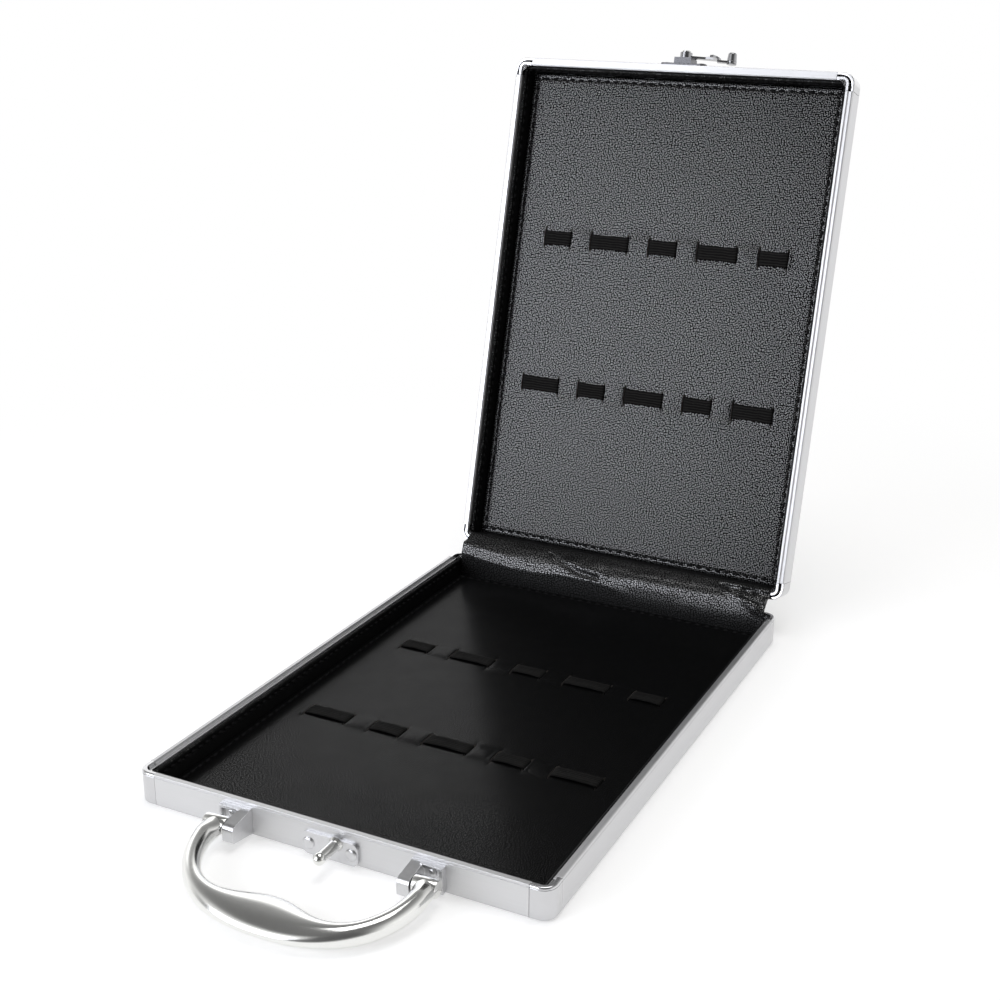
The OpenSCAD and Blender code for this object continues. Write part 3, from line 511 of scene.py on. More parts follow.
def finished_metal(node, body, slot, material, edge, steps=2, outer=0.0, cutter=None):
    """The CAD piece with its sharp edges broken by edge, as tumbling or polishing leaves them; outer rounds
    the outer edge of the mating face more, and what the cutter fills is taken out."""
    near, level = 0.000002, math.radians(0.5)
    work = bmesh.new()
    work.from_mesh(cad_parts[node].data)
    bmesh.ops.remove_doubles(work, verts=work.verts, dist=near)
    bmesh.ops.dissolve_limit(work, angle_limit=level, verts=work.verts, edges=work.edges)
    width = max(edge, outer)
    weight = work.edges.layers.float.new("bevel_weight_edge")
    for line in work.edges:
        if len(line.link_faces) == 2 and line.calc_face_angle(0.0) > math.radians(SHARP_METAL):
            rounded = outer and all(on_outer_edge(v.co, body) for v in line.verts)
            line[weight] = 1.0 if rounded else edge / width
    mesh = bpy.data.meshes.new(node + "_finished")
    work.to_mesh(mesh)
    work.free()
    if "custom_normal" in mesh.attributes:
        mesh.attributes.remove(mesh.attributes["custom_normal"])
    shade(mesh, SHARP_METAL)
    piece = link_piece(node + "_finished", mesh, material)
    if cutter:
        cut = piece.modifiers.new("open_gap", "BOOLEAN")
        cut.operation = "DIFFERENCE"
        cut.solver = "EXACT"
        # The cutter's near-black finish passes to the walls of the cut: painted shade in the gap.
        cut.material_mode = "TRANSFER"
        cut.object = cutter
    bevel = piece.modifiers.new("broken_edges", "BEVEL")
    bevel.width = width * MM
    bevel.segments = steps
    bevel.limit_method = "WEIGHT"
    even = piece.modifiers.new("even_faces", "WEIGHTED_NORMAL")
    even.keep_sharp = True
    piece = settled(piece)
    if cutter:
        bpy.data.objects.remove(cutter)
    part_of(piece, body, slot, node)


# Frame rails, corner caps and panels

FRAME_EDGES = {"edge": 0.14, "steps": 5, "outer": 1.1}
for half, along in (("base", SATIN_Y_PAINTED_LIGHT), ("lid", SATIN_LID_PAINTED_LIGHT)):
    for side, finish in (("front", SATIN_X), ("rear", SATIN_X), ("left", along), ("right", along)):
        finished_metal(f"{half}_{side}_rail", half, "frame_aluminium", finish, **FRAME_EDGES)
    for end, sy in (("front", -1), ("rear", 1)):
        for side, sx in (("left", -1), ("right", 1)):
            gap = cap_gap(sx, sy) if half == "lid" else None
            corner = f"{half}_corner_{end}_{side}"
            finished_metal(corner, half, "corner_aluminium", CORNER, cutter=gap, **FRAME_EDGES)
    finished_metal(f"{half}_panel", half, "panel_aluminium", PANEL, edge=0.2)
    finished_metal(f"{half}_corner_brackets", half, "zinc_steel", ZINC, edge=0.1)

# Catch, latch, handle mounts and hinges

for name, body, slot, material, edge in (
        ("catch_plate", "base", "zinc_steel", PLATED, 0.3),
        ("catch_post", "base", "chrome", CHROME, 0.2),
        ("latch_plate", "lid", "zinc_steel", LATCH_PLATE_PAINTED_SHADE, 0.3),
        ("latch_block", "lid", "zinc_steel", LATCH_PLATE_PAINTED_SHADE, 0.3),
        ("latch_pivot_pin", "lid", "zinc_steel", ZINC, 0.15),
        ("latch_arm", "latch", "chrome", LATCH_PLATED_PAINTED_SHADE, 0.2),
        ("latch_knob", "latch", "chrome", LATCH_PLATED_PAINTED_SHADE, 0.2),
        ("handle_bracket_{}", "base", "chrome", PLATED, 0.35),
        ("handle_pin_{}", "base", "chrome", CHROME, 0.15),
        ("hinge_base_leaf_{}", "base", "zinc_steel", ZINC, 0.2),
        ("hinge_lid_leaf_{}", "lid", "zinc_steel", ZINC, 0.2),
        ("hinge_pin_{}", "base", "zinc_steel", ZINC, 0.2)):
    for side in ("left", "right") if "{}" in name else ("",):
        finished_metal(name.format(side), body, slot, material, edge)


# Geometry Nodes

GRID_SIDES = (("Rings", "Int", 41), ("Sides", "Int", 33))


def shape_tree(name, amounts, others=()):
    """A tree with named inputs; returns it, its input sockets, its output node and its amounts in order."""
    tree = bpy.data.node_groups.new(name, "GeometryNodeTree")
    numbers = [(label, "Float", 1.0) for label in amounts]
    new_inputs(tree, (("Geometry", "Geometry", None), *numbers, *others, ("Finish", "Material", None)))
    tree.interface.new_socket("Geometry", in_out="OUTPUT", socket_type="NodeSocketGeometry")
    given, end = tree.nodes.new("NodeGroupInput").outputs, tree.nodes.new("NodeGroupOutput")
    return tree, given, end, [Amount(tree, given[label]) for label in amounts]


def close_tree(tree, geometry, given, end):
    """The tree's last nodes: its instances are made real and get their finish."""
    real = add(tree, "GeometryNodeRealizeInstances", {0: geometry})
    shown = add(tree, "GeometryNodeSetMaterial", {"Geometry": real.outputs[0], "Material": given["Finish"]})
    wire(tree, end, {0: shown.outputs[0]})
    return tree


def place_of(tree):
    """The x and y of each point."""
    spot = add(tree, "ShaderNodeSeparateXYZ", {0: add(tree, "GeometryNodeInputPosition").outputs[0]})
    return Amount(tree, spot.outputs[0]), Amount(tree, spot.outputs[1])


def flat_grid(tree, given):
    """A grid to roll up; returns it, the share of its length at each point and the turn round it."""
    grid = add(tree, "GeometryNodeMeshGrid", {
        "Size X": 1.0, "Size Y": 1.0, "Vertices X": given["Rings"], "Vertices Y": given["Sides"]})
    x, y = place_of(tree)
    return grid, x + 0.5, (y + 0.5) * (2 * math.pi)


def rolled_up(tree, grid, x, y, z, merge):
    """The grid with its points moved to x, y and z, and the edges that meet joined."""
    point = add(tree, "ShaderNodeCombineXYZ", {0: x, 1: y, 2: z})
    placed = add(tree, "GeometryNodeSetPosition", {
        "Geometry": grid.outputs[0], "Position": point.outputs[0]})
    return add(tree, "GeometryNodeMergeByDistance", {
        "Geometry": placed.outputs[0], "Distance": merge}).outputs[0]


def on_points(tree, points, shape, toward):
    """The shape on each of the points, its z axis turned toward a direction."""
    turned = add(tree, "FunctionNodeAlignRotationToVector", {"Vector": toward}, axis="Z")
    return add(tree, "GeometryNodeInstanceOnPoints", {
        "Points": points, "Instance": shape.outputs[0], "Rotation": turned.outputs[0]}).outputs[0]


def with_tree(piece, tree, values):
    """Puts the tree on the piece with its inputs set by identifier, and makes the result plain mesh."""
    modifier = piece.modifiers.new(tree.name, "NODES")
    modifier.node_group = tree
    for item in tree.interface.items_tree:
        if item.item_type == "SOCKET" and item.in_out == "INPUT" and item.name in values:
            modifier[item.identifier] = values[item.name]
    return settled(piece)


# Handle

def handle_tree():
    """The bail: an open oval that starts and ends at the eyes and swells into the palm grip."""
    tree, given, end, amounts = shape_tree("bail_handle", (
        "Reach", "Half Span", "Bar Start", "End Half", "Bar Width", "Palm Width", "Palm Length",
        "End Thickness", "Bar Thickness", "Lean", "Bend Power"), GRID_SIDES)
    reach, span, bar_start, end_half, bar_w, palm_w, palm_length, end_thick, bar_thick, lean, power = amounts
    grid, along, around = flat_grid(tree, given)
    turn = along * math.pi

    def outline(t):
        q = reach * (t.sine().size() ** power)
        return t.cosine().sign() * span * (t.cosine().size() ** power), q

    # Square to the outline, by its direction between two places close to each point
    step = 0.0009
    ax, aq = outline((turn - step).at_least(0.0))
    bx, bq = outline((turn + step).at_most(math.pi))
    dx, dq = bx - ax, bq - aq
    length = (dx * dx + dq * dq) ** 0.5
    nx, nq = (0.0 - dq) / length, dx / length
    x, q = outline(turn)
    thin = (q / bar_start).eased()
    inside = (palm_length / 2.0 - x.size()).apply("GREATER_THAN", 0.0)
    swell = ((x * math.pi / palm_length).cosine() ** 2.0) * inside
    half = end_half + (bar_w / 2.0 - end_half) * thin + (palm_w - bar_w) / 2.0 * swell
    high = end_thick + (bar_thick / 2.0 - end_thick) * thin
    across = half * around.cosine()
    px, pq = x + nx * (half + across), q + nq * (half + across)
    bar = rolled_up(tree, grid, px + lean * pq / reach, 0.0 - pq, high * around.sine(), 0.001)
    hung = add(tree, "GeometryNodeTransform", {
        "Geometry": bar, "Scale": (MM, MM, MM), "Rotation": (math.radians(HANDLE_DROOP), 0, 0),
        "Translation": [v * MM for v in HANDLE_PIVOT]})
    return close_tree(tree, hung.outputs[0], given, end)


def turned_solid(axis_from, axis_to, profile, sides):
    """Points and faces of a turned solid: profile is (distance along, radius) from end to end."""
    a, b = Vector(axis_from), Vector(axis_to)
    along = (b - a).normalized()
    u = along.orthogonal().normalized()
    v = along.cross(u)
    points, faces = [], []
    for reach, radius in profile:
        for i in range(sides):
            turn = 2 * math.pi * i / sides
            points.append(a + along * reach + (u * math.cos(turn) + v * math.sin(turn)) * radius)
    last = (len(profile) - 1) * sides
    for ring in range(0, last, sides):
        for i in range(sides):
            j = (i + 1) % sides
            faces.append((ring + i, ring + j, ring + sides + j, ring + sides + i))
    faces.append(tuple(reversed(range(sides))))
    faces.append(tuple(last + i for i in range(sides)))
    return points, faces


def handle_piece():
    """The bail with its two eyes, each a round boss about its pin with eased ends."""
    blank = link_piece("handle_bail", bpy.data.meshes.new("handle_bail"))
    bail = with_tree(blank, handle_tree(), {
        "Reach": 54.0, "Half Span": EYE_OUT, "Bar Start": 11.0, "End Half": (EYE_OUT - EYE_IN) / 2,
        "Bar Width": 8.8, "Palm Width": 22.4, "Palm Length": 94.0, "End Thickness": 3.92,
        "Bar Thickness": 10.0, "Lean": 4.4, "Bend Power": 2 / 2.25,
        "Rings": 181, "Sides": 65, "Finish": CHROME})
    work = bmesh.new()
    work.from_mesh(bail.data)
    bmesh.ops.holes_fill(work, edges=[e for e in work.edges if e.is_boundary], sides=0)
    bmesh.ops.recalc_face_normals(work, faces=work.faces)
    pivot, long, near, ease = Vector(HANDLE_PIVOT), EYE_OUT - EYE_IN, 0.15, 0.5
    profile = [(0, EYE_R - ease), (near, EYE_R - near), (ease, EYE_R),
               (long - ease, EYE_R), (long - near, EYE_R - near), (long, EYE_R - ease)]
    for side in (-1, 1):
        ends = (pivot + Vector((side * EYE_IN, 0, 0)), pivot + Vector((side * EYE_OUT, 0, 0)))
        points, faces = turned_solid(*ends, profile, 64)
        made = [work.verts.new(p * MM) for p in points]
        for face in faces:
            work.faces.new([made[i] for i in face])
    work.to_mesh(bail.data)
    work.free()
    shade(bail.data, 40)
    part_of(bail, "handle", "chrome", "handle")


handle_piece()


# Rivets

def rivet_tree():
    """Dome-headed rivets, one on each point, their heads turned the same way."""
    tree, given, end, amounts = shape_tree("dome_rivets", (
        "Head Radius", "Head Height", "Brim", "Shank Radius", "Grip", "Tail Radius", "Tail Height"),
        (("Toward", "Vector", (0, -1, 0)), *GRID_SIDES))
    head, head_high, brim, shank, grip, tail, tail_high = amounts
    grid, along, around = flat_grid(tree, given)

    def step(start, stop):
        return ((along - start) / (stop - start)).at_least(0.0).at_most(1.0)

    dome = step(0.0, 0.5) * (math.pi / 2)
    radius = (head * dome.sine() - (head - shank) * step(0.55, 0.625)
              + (tail - shank) * step(0.75, 0.8) - tail * step(0.9, 1.0))
    height = (brim + (head_high - brim) * dome.cosine() - brim * step(0.5, 0.55)
              - grip * step(0.625, 0.75) - tail_high * step(0.8, 0.9))
    rivet = rolled_up(tree, grid, radius * around.cosine(), radius * around.sine(), height, 0.0005)
    small = add(tree, "GeometryNodeTransform", {"Geometry": rivet, "Scale": (MM, MM, MM)})
    return close_tree(tree, on_points(tree, given["Geometry"], small, given["Toward"]), given, end)


RIVET = rivet_tree()


def rivets(node, body, material, places, toward, cover, head):
    """The rivets of a plate of thickness cover; places and toward are in the closed case."""
    behind = 1.2
    stands = lid_stands if body == "lid" else Vector
    blank = mesh_from(node + "_domed", [stands(p) for p in places], [])
    piece = with_tree(blank, RIVET, {
        "Toward": stands(toward) - stands((0, 0, 0)), "Grip": cover + behind, "Head Radius": head,
        "Head Height": 1.1, "Brim": 0.18, "Shank Radius": 1.2, "Tail Radius": 1.9, "Tail Height": 0.6,
        "Rings": 41, "Sides": 33, "Finish": material})
    face_outward(piece)
    shade(piece.data, 40)
    part_of(piece, body, "zinc_steel", node)


FRONT_COVER, REAR_COVER = 1.5, 1.4
for node, body, middle, apart, level, head in (
        ("handle_bracket_rivets", "base", 0, 50.9, 10.0, 2.1),
        ("catch_rivets", "base", 0.3, 10.8, 6.4, 2.9),
        ("latch_rivets", "lid", 1, 10.8, 24.8, 2.9)):
    spots = [(middle + s * apart, -HALF_D - FRONT_COVER, level) for s in (-1, 1)]
    rivets(node, body, PLATED, spots, (0, -1, 0), FRONT_COVER, head)
for half, level in (("base", 8.3), ("lid", 25.0)):
    spots = [(s * 60 + d, HALF_D + REAR_COVER, level) for s in (-1, 1) for d in (-11, 11)]
    rivets(f"hinge_{half}_rivets", half, ZINC, spots, (0, 1, 0), REAR_COVER, 2.1)


# Insert boards

EDGE_LINES = (0.0, 0.25, 0.6, 1.0, 1.6, 2.2, 2.8, 3.1, HEM + BOARD_LAP, 3.6, 4.0, 5.0)
GRID_PITCH = 2.6
FACE_LEVEL = BOARD_TOP - 0.25
PULL_REACH = 11


def grid_lines(half, cuts):
    """Grid lines from -half to half, close together at the edges and through each cut."""
    lines = {0.0}
    for near in EDGE_LINES:
        lines |= {round(half - near, 3), round(near - half, 3)}
    lines |= {round(c, 3) for c in cuts}
    ordered = sorted(lines)
    filled = []
    for a, b in zip(ordered, ordered[1:]):
        steps = max(1, math.ceil((b - a) / GRID_PITCH))
        filled += [a + (b - a) * i / steps for i in range(steps)]
    return filled + [ordered[-1]]


def insert_board(name, body, node, place, rows, seed, leather):
    """The padded board: leatherette over a core, slit for the elastic, with soft ridges where it pulls."""
    half_x, half_y = HALF_W - BOARD_EDGE + BOARD_LAP, HALF_D - BOARD_EDGE + BOARD_LAP
    longer = LID_BOARD_LONGER if place is lid_place else 0.0
    bands = [(y, loop_spans(wide_first)) for y, wide_first in rows]
    slits = [(middle + side * (half - SLIT_INSET), y)
             for y, spans in bands for middle, half in spans for side in (-1, 1)]
    slit_x, slit_y = SLIT_W / 2, SLIT_LEN / 2
    xs = grid_lines(half_x, [x + d for x, _ in slits for d in (-1.3, -slit_x, 0, slit_x, 1.3)])
    ys = grid_lines(half_y, [y + s * d for y, _ in rows for s in (-1, 1)
                             for d in (4.5, slit_y - 0.5, slit_y, slit_y + 0.7)])

    def open_slit(x, y):
        return any(abs(x - sx) < slit_x and abs(y - sy) < slit_y for sx, sy in slits)

    def pulled(x, across, spans):
        """How far the strip behind the board lifts its face, at a distance across from the row."""
        rise = 0.0
        for (a, half_a), (b, half_b) in zip(spans, spans[1:]):
            left, right = a + half_a, b - half_b
            if left < x < right:
                along = (x - left) / (right - left)
                ridge = 0.5 * math.sin(math.pi * along) ** 0.7 * math.exp(-(across / 6.0) ** 4)
                rise = max(rise, ridge)
        for middle, half in spans:
            for side in (-1, 1):
                away = (x - (middle + side * (half - SLIT_INSET)))
                lip = (0.28 * math.exp(-((abs(away) - 1.2) / 0.7) ** 2)
                       * math.exp(-(max(0.0, across - 5.2) / 1.6) ** 2))
                rise += lip if away * side > 0 else 0.4 * lip
                pull = math.hypot(away, across - slit_y)
                rise -= 0.18 * math.exp(-(pull / 1.6) ** 2)
            if abs(x - middle) < half - 1:
                rise -= 0.3 * math.exp(-(across / 4.6) ** 6)
        return rise

    def top(x, y):
        """The height of the face: rounded off at the rim, grooved beside the hem, and soft."""
        near = min(half_x - abs(x), half_y - abs(y))
        rim = 1.0
        drop = 0.0 if near >= rim else rim - math.sqrt(max(0.0, rim ** 2 - (rim - near) ** 2))
        groove = 0.25 * math.exp(-((near - (HEM + BOARD_LAP)) / 0.5) ** 2)
        soft = (0.1 * noise.noise(Vector((x / 40, y / 36, seed)))
                + 0.03 * noise.noise(Vector((x / 9, y / 9, seed + 7))))
        rise = 0.0
        for row_y, spans in bands:
            if abs(y - row_y) <= PULL_REACH:
                rise += pulled(x, abs(y - row_y), spans)
        return FACE_LEVEL - drop - groove + soft + rise

    def drawn_in(x, y):
        """Slits gape where the strip passes and close to a point at their ends."""
        for sx, sy in slits:
            past = (abs(y - sy) - ELASTIC_W / 2) / ((SLIT_LEN - ELASTIC_W) / 2)
            if abs(x - sx) < slit_x + 0.01 and 0 < past < 1.01:
                return sx + (x - sx) * (1 - 0.85 * past)
        return x

    def squared(x, y):
        """Rounds the board's corners in plan and lengthens the lid's board toward the hinge."""
        r = 2.0
        u, v = abs(x) - (half_x - r), abs(y) - (half_y - r)
        if u > 0 and v > 0:
            shrink = max(u, v) / math.hypot(u, v)
            x = math.copysign(half_x - r + u * shrink, x)
            y = math.copysign(half_y - r + v * shrink, y)
        return x, y + longer * min(1.0, max(0.0, (y - 80) / 50))

    # Three levels of points: the face, the underside and the bottoms of the slits
    nx, ny = len(xs), len(ys)
    points, faces, marks, flat = [], [], [], []
    for level in (0, 1, 2):
        for y in ys:
            for x in xs:
                px, py = squared(drawn_in(x, y), y)
                points.append(place(px, py, (top(x, y), PANEL_TOP + 0.02, PANEL_TOP + 0.08)[level]))
                flat.append((px, py))

    def number(i, j, level):
        return level * nx * ny + j * nx + i

    def on_grid(i, j):
        return 0 <= i < nx - 1 and 0 <= j < ny - 1

    solid = [[not open_slit((xs[i] + xs[i + 1]) / 2, (ys[j] + ys[j + 1]) / 2) for i in range(nx - 1)]
             for j in range(ny - 1)]
    for j in range(ny - 1):
        for i in range(nx - 1):
            shown = 0 if solid[j][i] else 2
            around = ((i, j), (i + 1, j), (i + 1, j + 1), (i, j + 1))
            faces.append(tuple(number(*corner, shown) for corner in around))
            faces.append(tuple(number(*corner, 1) for corner in reversed(around)))
            marks += [0, 0]
            if shown:
                continue
            beyond = ((i, j - 1), (i + 1, j), (i, j + 1), (i - 1, j))
            for a, b, next_to in zip(around, around[1:] + around[:1], beyond):
                in_slit = on_grid(*next_to)
                if not (in_slit and solid[next_to[1]][next_to[0]]):
                    foot = 2 if in_slit else 1
                    faces.append((number(*b, 0), number(*a, 0), number(*a, foot), number(*b, foot)))
                    marks.append(1 if in_slit else 0)
    used = sorted({i for face in faces for i in face})
    renumber = {old: new for new, old in enumerate(used)}
    points, flat = [points[i] for i in used], [flat[i] for i in used]
    faces = [tuple(renumber[i] for i in face) for face in faces]
    if place is lid_place:
        faces = [tuple(reversed(face)) for face in faces]
    board = mesh_from(name, points, faces, leather, BACKING, sharp=50.0, marks=marks, flat=flat)
    part_of(board, body, "leatherette", node)


insert_board("base_board_covered", "base", "base_insert_board", base_place, BASE_ROWS,
             seed=3.1, leather=BASE_LEATHER)
insert_board("lid_board_covered", "lid", "lid_insert_board", lid_place, LID_ROWS,
             seed=8.4, leather=LID_LEATHER)


# Lining walls

def lining(name, body, node, place):
    """The padded lining that stands along the front and both sides."""
    t, bend = LINER_T / 2, 2.05
    r = bend - t
    half_x, half_y = HALF_W - (LINER_U + t), HALF_D - (LINER_U + t)
    rear = HALF_D - LINER_U - 0.1
    path = []

    def straight(a, b, normal):
        count = max(2, round((Vector(b) - Vector(a)).length / 3))
        for i in range(count + 1):
            path.append((Vector(a).lerp(Vector(b), i / count), Vector(normal)))

    def corner(x, y, turn_from):
        for i in range(1, 8):
            turn = math.radians(turn_from + 90 * i / 8)
            outward = Vector((math.cos(turn), math.sin(turn)))
            path.append((Vector((x, y)) + outward * r, -outward))

    straight((-half_x, rear), (-half_x, -half_y + r), (1, 0))
    corner(-half_x + r, -half_y + r, 180)
    straight((-half_x + r, -half_y), (half_x - r, -half_y), (0, 1))
    corner(half_x - r, -half_y + r, 270)
    straight((half_x, -half_y + r), (half_x, rear), (-1, 0))

    # Up the outer side, over the rounded top, and down the inner side past the stitched groove
    low, high = PANEL_TOP + 0.03, LINER_TOP
    section = [(-t, low), (-t, high - t)]
    for degrees in range(20, 180, 20):
        a = math.radians(degrees)
        section.append((-t * math.cos(a), high - t + t * math.sin(a)))
    section += [(t, high - t), (t, 12.3), (t - 0.1, 11.6), (t - 0.32, WALL_SEAM), (t - 0.1, 10.6),
                (t, 9.9), (t, 7.5), (t, 5.5), (t, low)]
    points, flat = [], []
    run, before = 0.0, path[0][0]
    for spot, inward in path:
        run += (spot - before).length
        before = spot
        for reach, height in section:
            wave = 0.0
            if reach > 0:
                wave = 0.12 * noise.noise(Vector((spot.x / 12, spot.y / 12, height / 6))) - 0.1
            p = spot + inward * (reach + wave)
            points.append(place(p.x, p.y, height))
            flat.append((run, height + reach))
    sides = len(section)
    last = (len(path) - 1) * sides
    faces = []
    for ring in range(0, last, sides):
        for i in range(sides):
            j = (i + 1) % sides
            faces.append((ring + i, ring + sides + i, ring + sides + j, ring + j))
    faces.append(tuple(range(sides)))
    faces.append(tuple(last + i for i in reversed(range(sides))))
    if place is base_place:
        faces = [tuple(reversed(face)) for face in faces]
    wall = mesh_from(name, points, faces, WALL_LEATHER, sharp=50.0, flat=flat)
    part_of(wall, body, "leatherette", node)


lining("base_lining_padded", "base", "base_liner", base_place)
lining("lid_lining_padded", "lid", "lid_liner", lid_place)


# Elastic

def elastic_tree():
    """A flat ribbed strip that follows a weaving path and keeps its width level."""
    tree, given, end, (width, thick, ribs, rib_height) = shape_tree(
        "ribbed_strip", ("Width", "Thickness", "Ribs", "Rib Height"), (("Sides", "Int", 84),))
    level = add(tree, "GeometryNodeSetCurveNormal", {
        0: given["Geometry"], "Normal": (0, 1, 0)}, mode="FREE")
    ring = add(tree, "GeometryNodeCurvePrimitiveCircle", {"Resolution": given["Sides"], "Radius": 1.0})
    across, up = place_of(tree)
    rib = (across * math.pi * ribs).cosine() * rib_height
    flat = up.sign() * (up.size() ** 0.35)
    point = add(tree, "ShaderNodeCombineXYZ", {0: across * width / 2.0, 1: flat * (thick / 2.0 + rib)})
    section = add(tree, "GeometryNodeSetPosition", {
        "Geometry": ring.outputs[0], "Position": point.outputs[0]})
    strip = add(tree, "GeometryNodeCurveToMesh", {
        "Curve": level.outputs[0], "Profile Curve": section.outputs[0], "Fill Caps": True})
    return close_tree(tree, strip.outputs[0], given, end)


STRIP = elastic_tree()


def weave_path(wide_first):
    """The strip's middle line, x and height: over the board at each loop and behind it between them."""
    behind, over = PANEL_TOP + 0.2 + ELASTIC_T / 2, BOARD_TOP - 0.05 + ELASTIC_T / 2
    steps = 12
    line = [(-2 * LOOP_PITCH - WIDE_LOOP / 2 - 1, behind)]
    for middle, half in loop_spans(wide_first):
        a, b = middle - half + SLIT_INSET + 0.3, middle + half - SLIT_INSET - 0.2
        line += [(a - 1.1, behind), (a - 0.3, behind + 0.3), (a, behind + 1.0),
                 (a, over - 0.8), (a + 0.12, over - 0.3), (a + 0.5, over)]
        for i in range(1, steps):
            along = i / steps
            line.append((a + 0.5 + (b - a - 1) * along, over + 0.25 * math.sin(math.pi * along) ** 0.8))
        line += [(b - 0.5, over), (b - 0.12, over - 0.3), (b, over - 0.8),
                 (b, behind + 1.0), (b + 0.3, behind + 0.3), (b + 1.1, behind)]
    return line + [(2 * LOOP_PITCH + WIDE_LOOP / 2 + 1, behind)]


def elastic_strip(name, body, node, place, y, wide_first):
    """One row's strip, waisted within each loop."""
    path = curve_from(name, [[(x * MM, 0, z * MM) for x, z in weave_path(wide_first)]])
    piece = with_tree(path, STRIP, {
        "Width": ELASTIC_W * MM, "Thickness": ELASTIC_T * MM, "Ribs": 7.0, "Rib Height": 0.00009,
        "Sides": 84, "Finish": ELASTIC})
    marks = piece.data.attributes.new("across", "FLOAT", "POINT")
    for vertex in piece.data.vertices:
        x, across, height = (c / MM for c in vertex.co)
        wander = 0.09 * noise.noise(Vector((x / 4, across / 5, y)))
        marks.data[vertex.index].value = across / ELASTIC_W * 2 + wander
        for middle, half in loop_spans(wide_first):
            if abs(x - middle) < half:
                across *= 1.02 - 0.09 * math.cos(math.pi / 2 * (x - middle) / half) ** 0.7
        vertex.co = place(x, y + across, height) * MM
    if place is lid_place:
        piece.data.flip_normals()
    shade(piece.data, 60)
    part_of(piece, body, "elastic", node)


for half, place, rows in (("base", base_place, BASE_ROWS), ("lid", lid_place, LID_ROWS)):
    for (y, wide_first), end in zip(rows, ("front", "rear")):
        elastic_strip(f"{half}_elastic_{end}_ribbed", half, f"{half}_elastic_{end}", place, y, wide_first)


# Soft strip over the hinge line

FOLD_X = (-98, -94, -84, -74, -61, -48, -36, -27, -17, -6, 2, 9, 17, 26, 33, 41, 49, 60, 68, 75, 83, 92, 98)
FOLD_Z = (19.4, 19.0, 17.6, 16.6, 15.8, 15.9, 16.6, 17.3, 16.9, 16.9, 16.2, 15.5, 15.5, 16.3, 16.7, 15.8,
          14.7, 15.0, 16.0, 18.5, 18.0, 16.2, 15.1)
# Each crease: its line seen from above, how deep it is and how wide
CREASES = (
    (((-40, 153), (-34, 149.5), (-28, 147.4), (-20, 146.2), (-6, 145.4)), 1.0, 0.9),
    (((-92, 147), (-84, 147.6), (-70, 147), (-56, 147.8)), -0.35, 1.6),
    (((-30, 150), (-12, 147.5), (0, 147)), -0.35, 1.4),
    (((6, 147), (28, 146.6), (48, 147.2)), -0.3, 1.8),
    (((76, 152), (84, 149.5), (95, 148)), 0.8, 0.8),
    (((80, 154), (86, 148.5), (94, 146.5)), -0.8, 0.8))
PLEAT = ((70.0, 151.0), (98.5, 145.0))
# Where the strip is free to fold, from front to back and above which height
SOFT_FROM, SOFT_TO, SOFT_ABOVE = 144.8, 155.5, 12


def clamped(value):
    return min(1.0, max(0.0, value))


def smooth_line(points, count):
    """A line through the points with its corners eased, cut into equal steps; also its length."""
    dense = []
    for i in range(len(points) - 1):
        p0, p1, p2, p3 = (Vector(points[min(max(i + k, 0), len(points) - 1)]) for k in (-1, 0, 1, 2))
        for step in range(24):
            t = step / 24
            dense.append(0.5 * (2 * p1 + (p2 - p0) * t + (2 * p0 - 5 * p1 + 4 * p2 - p3) * t * t
                                + (3 * p1 - p0 - 3 * p2 + p3) * t ** 3))
    dense.append(Vector(points[-1]))
    lengths = [0.0]
    for a, b in zip(dense, dense[1:]):
        lengths.append(lengths[-1] + (b - a).length)
    line, k = [], 0
    for i in range(count + 1):
        want = lengths[-1] * i / count
        while k < len(dense) - 2 and lengths[k + 1] < want:
            k += 1
        part = (want - lengths[k]) / max(1e-9, lengths[k + 1] - lengths[k])
        line.append(dense[k].lerp(dense[k + 1], min(1.0, part)))
    return line, lengths[-1]


def fold_height(x):
    """The height of the fold at x, eased between its measured places."""
    x = min(max(x, FOLD_X[0]), FOLD_X[-1])
    for a, b, low, high in zip(FOLD_X, FOLD_X[1:], FOLD_Z, FOLD_Z[1:]):
        if x <= b:
            t = (x - a) / (b - a)
            return low + (high - low) * t * t * (3 - 2 * t)


def fold_depth(x, y):
    """How far the folds and creases push the strip in at a place seen from above."""
    depth = 0.0
    spot = Vector((x, y))
    for line, deep, width in CREASES:
        away = 1e9
        for a, b in zip(line, line[1:]):
            a, b = Vector(a), Vector(b)
            t = clamped((spot - a).dot(b - a) / (b - a).length_squared)
            away = min(away, (spot - a.lerp(b, t)).length)
        depth += deep * math.exp(-(away / width) ** 2)
    (ax, ay), (bx, by) = PLEAT
    beyond = ((by - ay) * (ax - x) + (bx - ax) * (y - ay)) / math.hypot(bx - ax, by - ay)
    tucked = clamped((beyond + 0.3) / 2.2) * clamped((x - 68) / 6)
    raised = math.exp(-(beyond / 1.1) ** 2) * clamped((x - 66) / 8)
    crumple = noise.noise(Vector((x / 3.2, y / 2.4, 9.1)))
    return depth + tucked * (2.2 + 0.9 * crumple) - 0.9 * raised


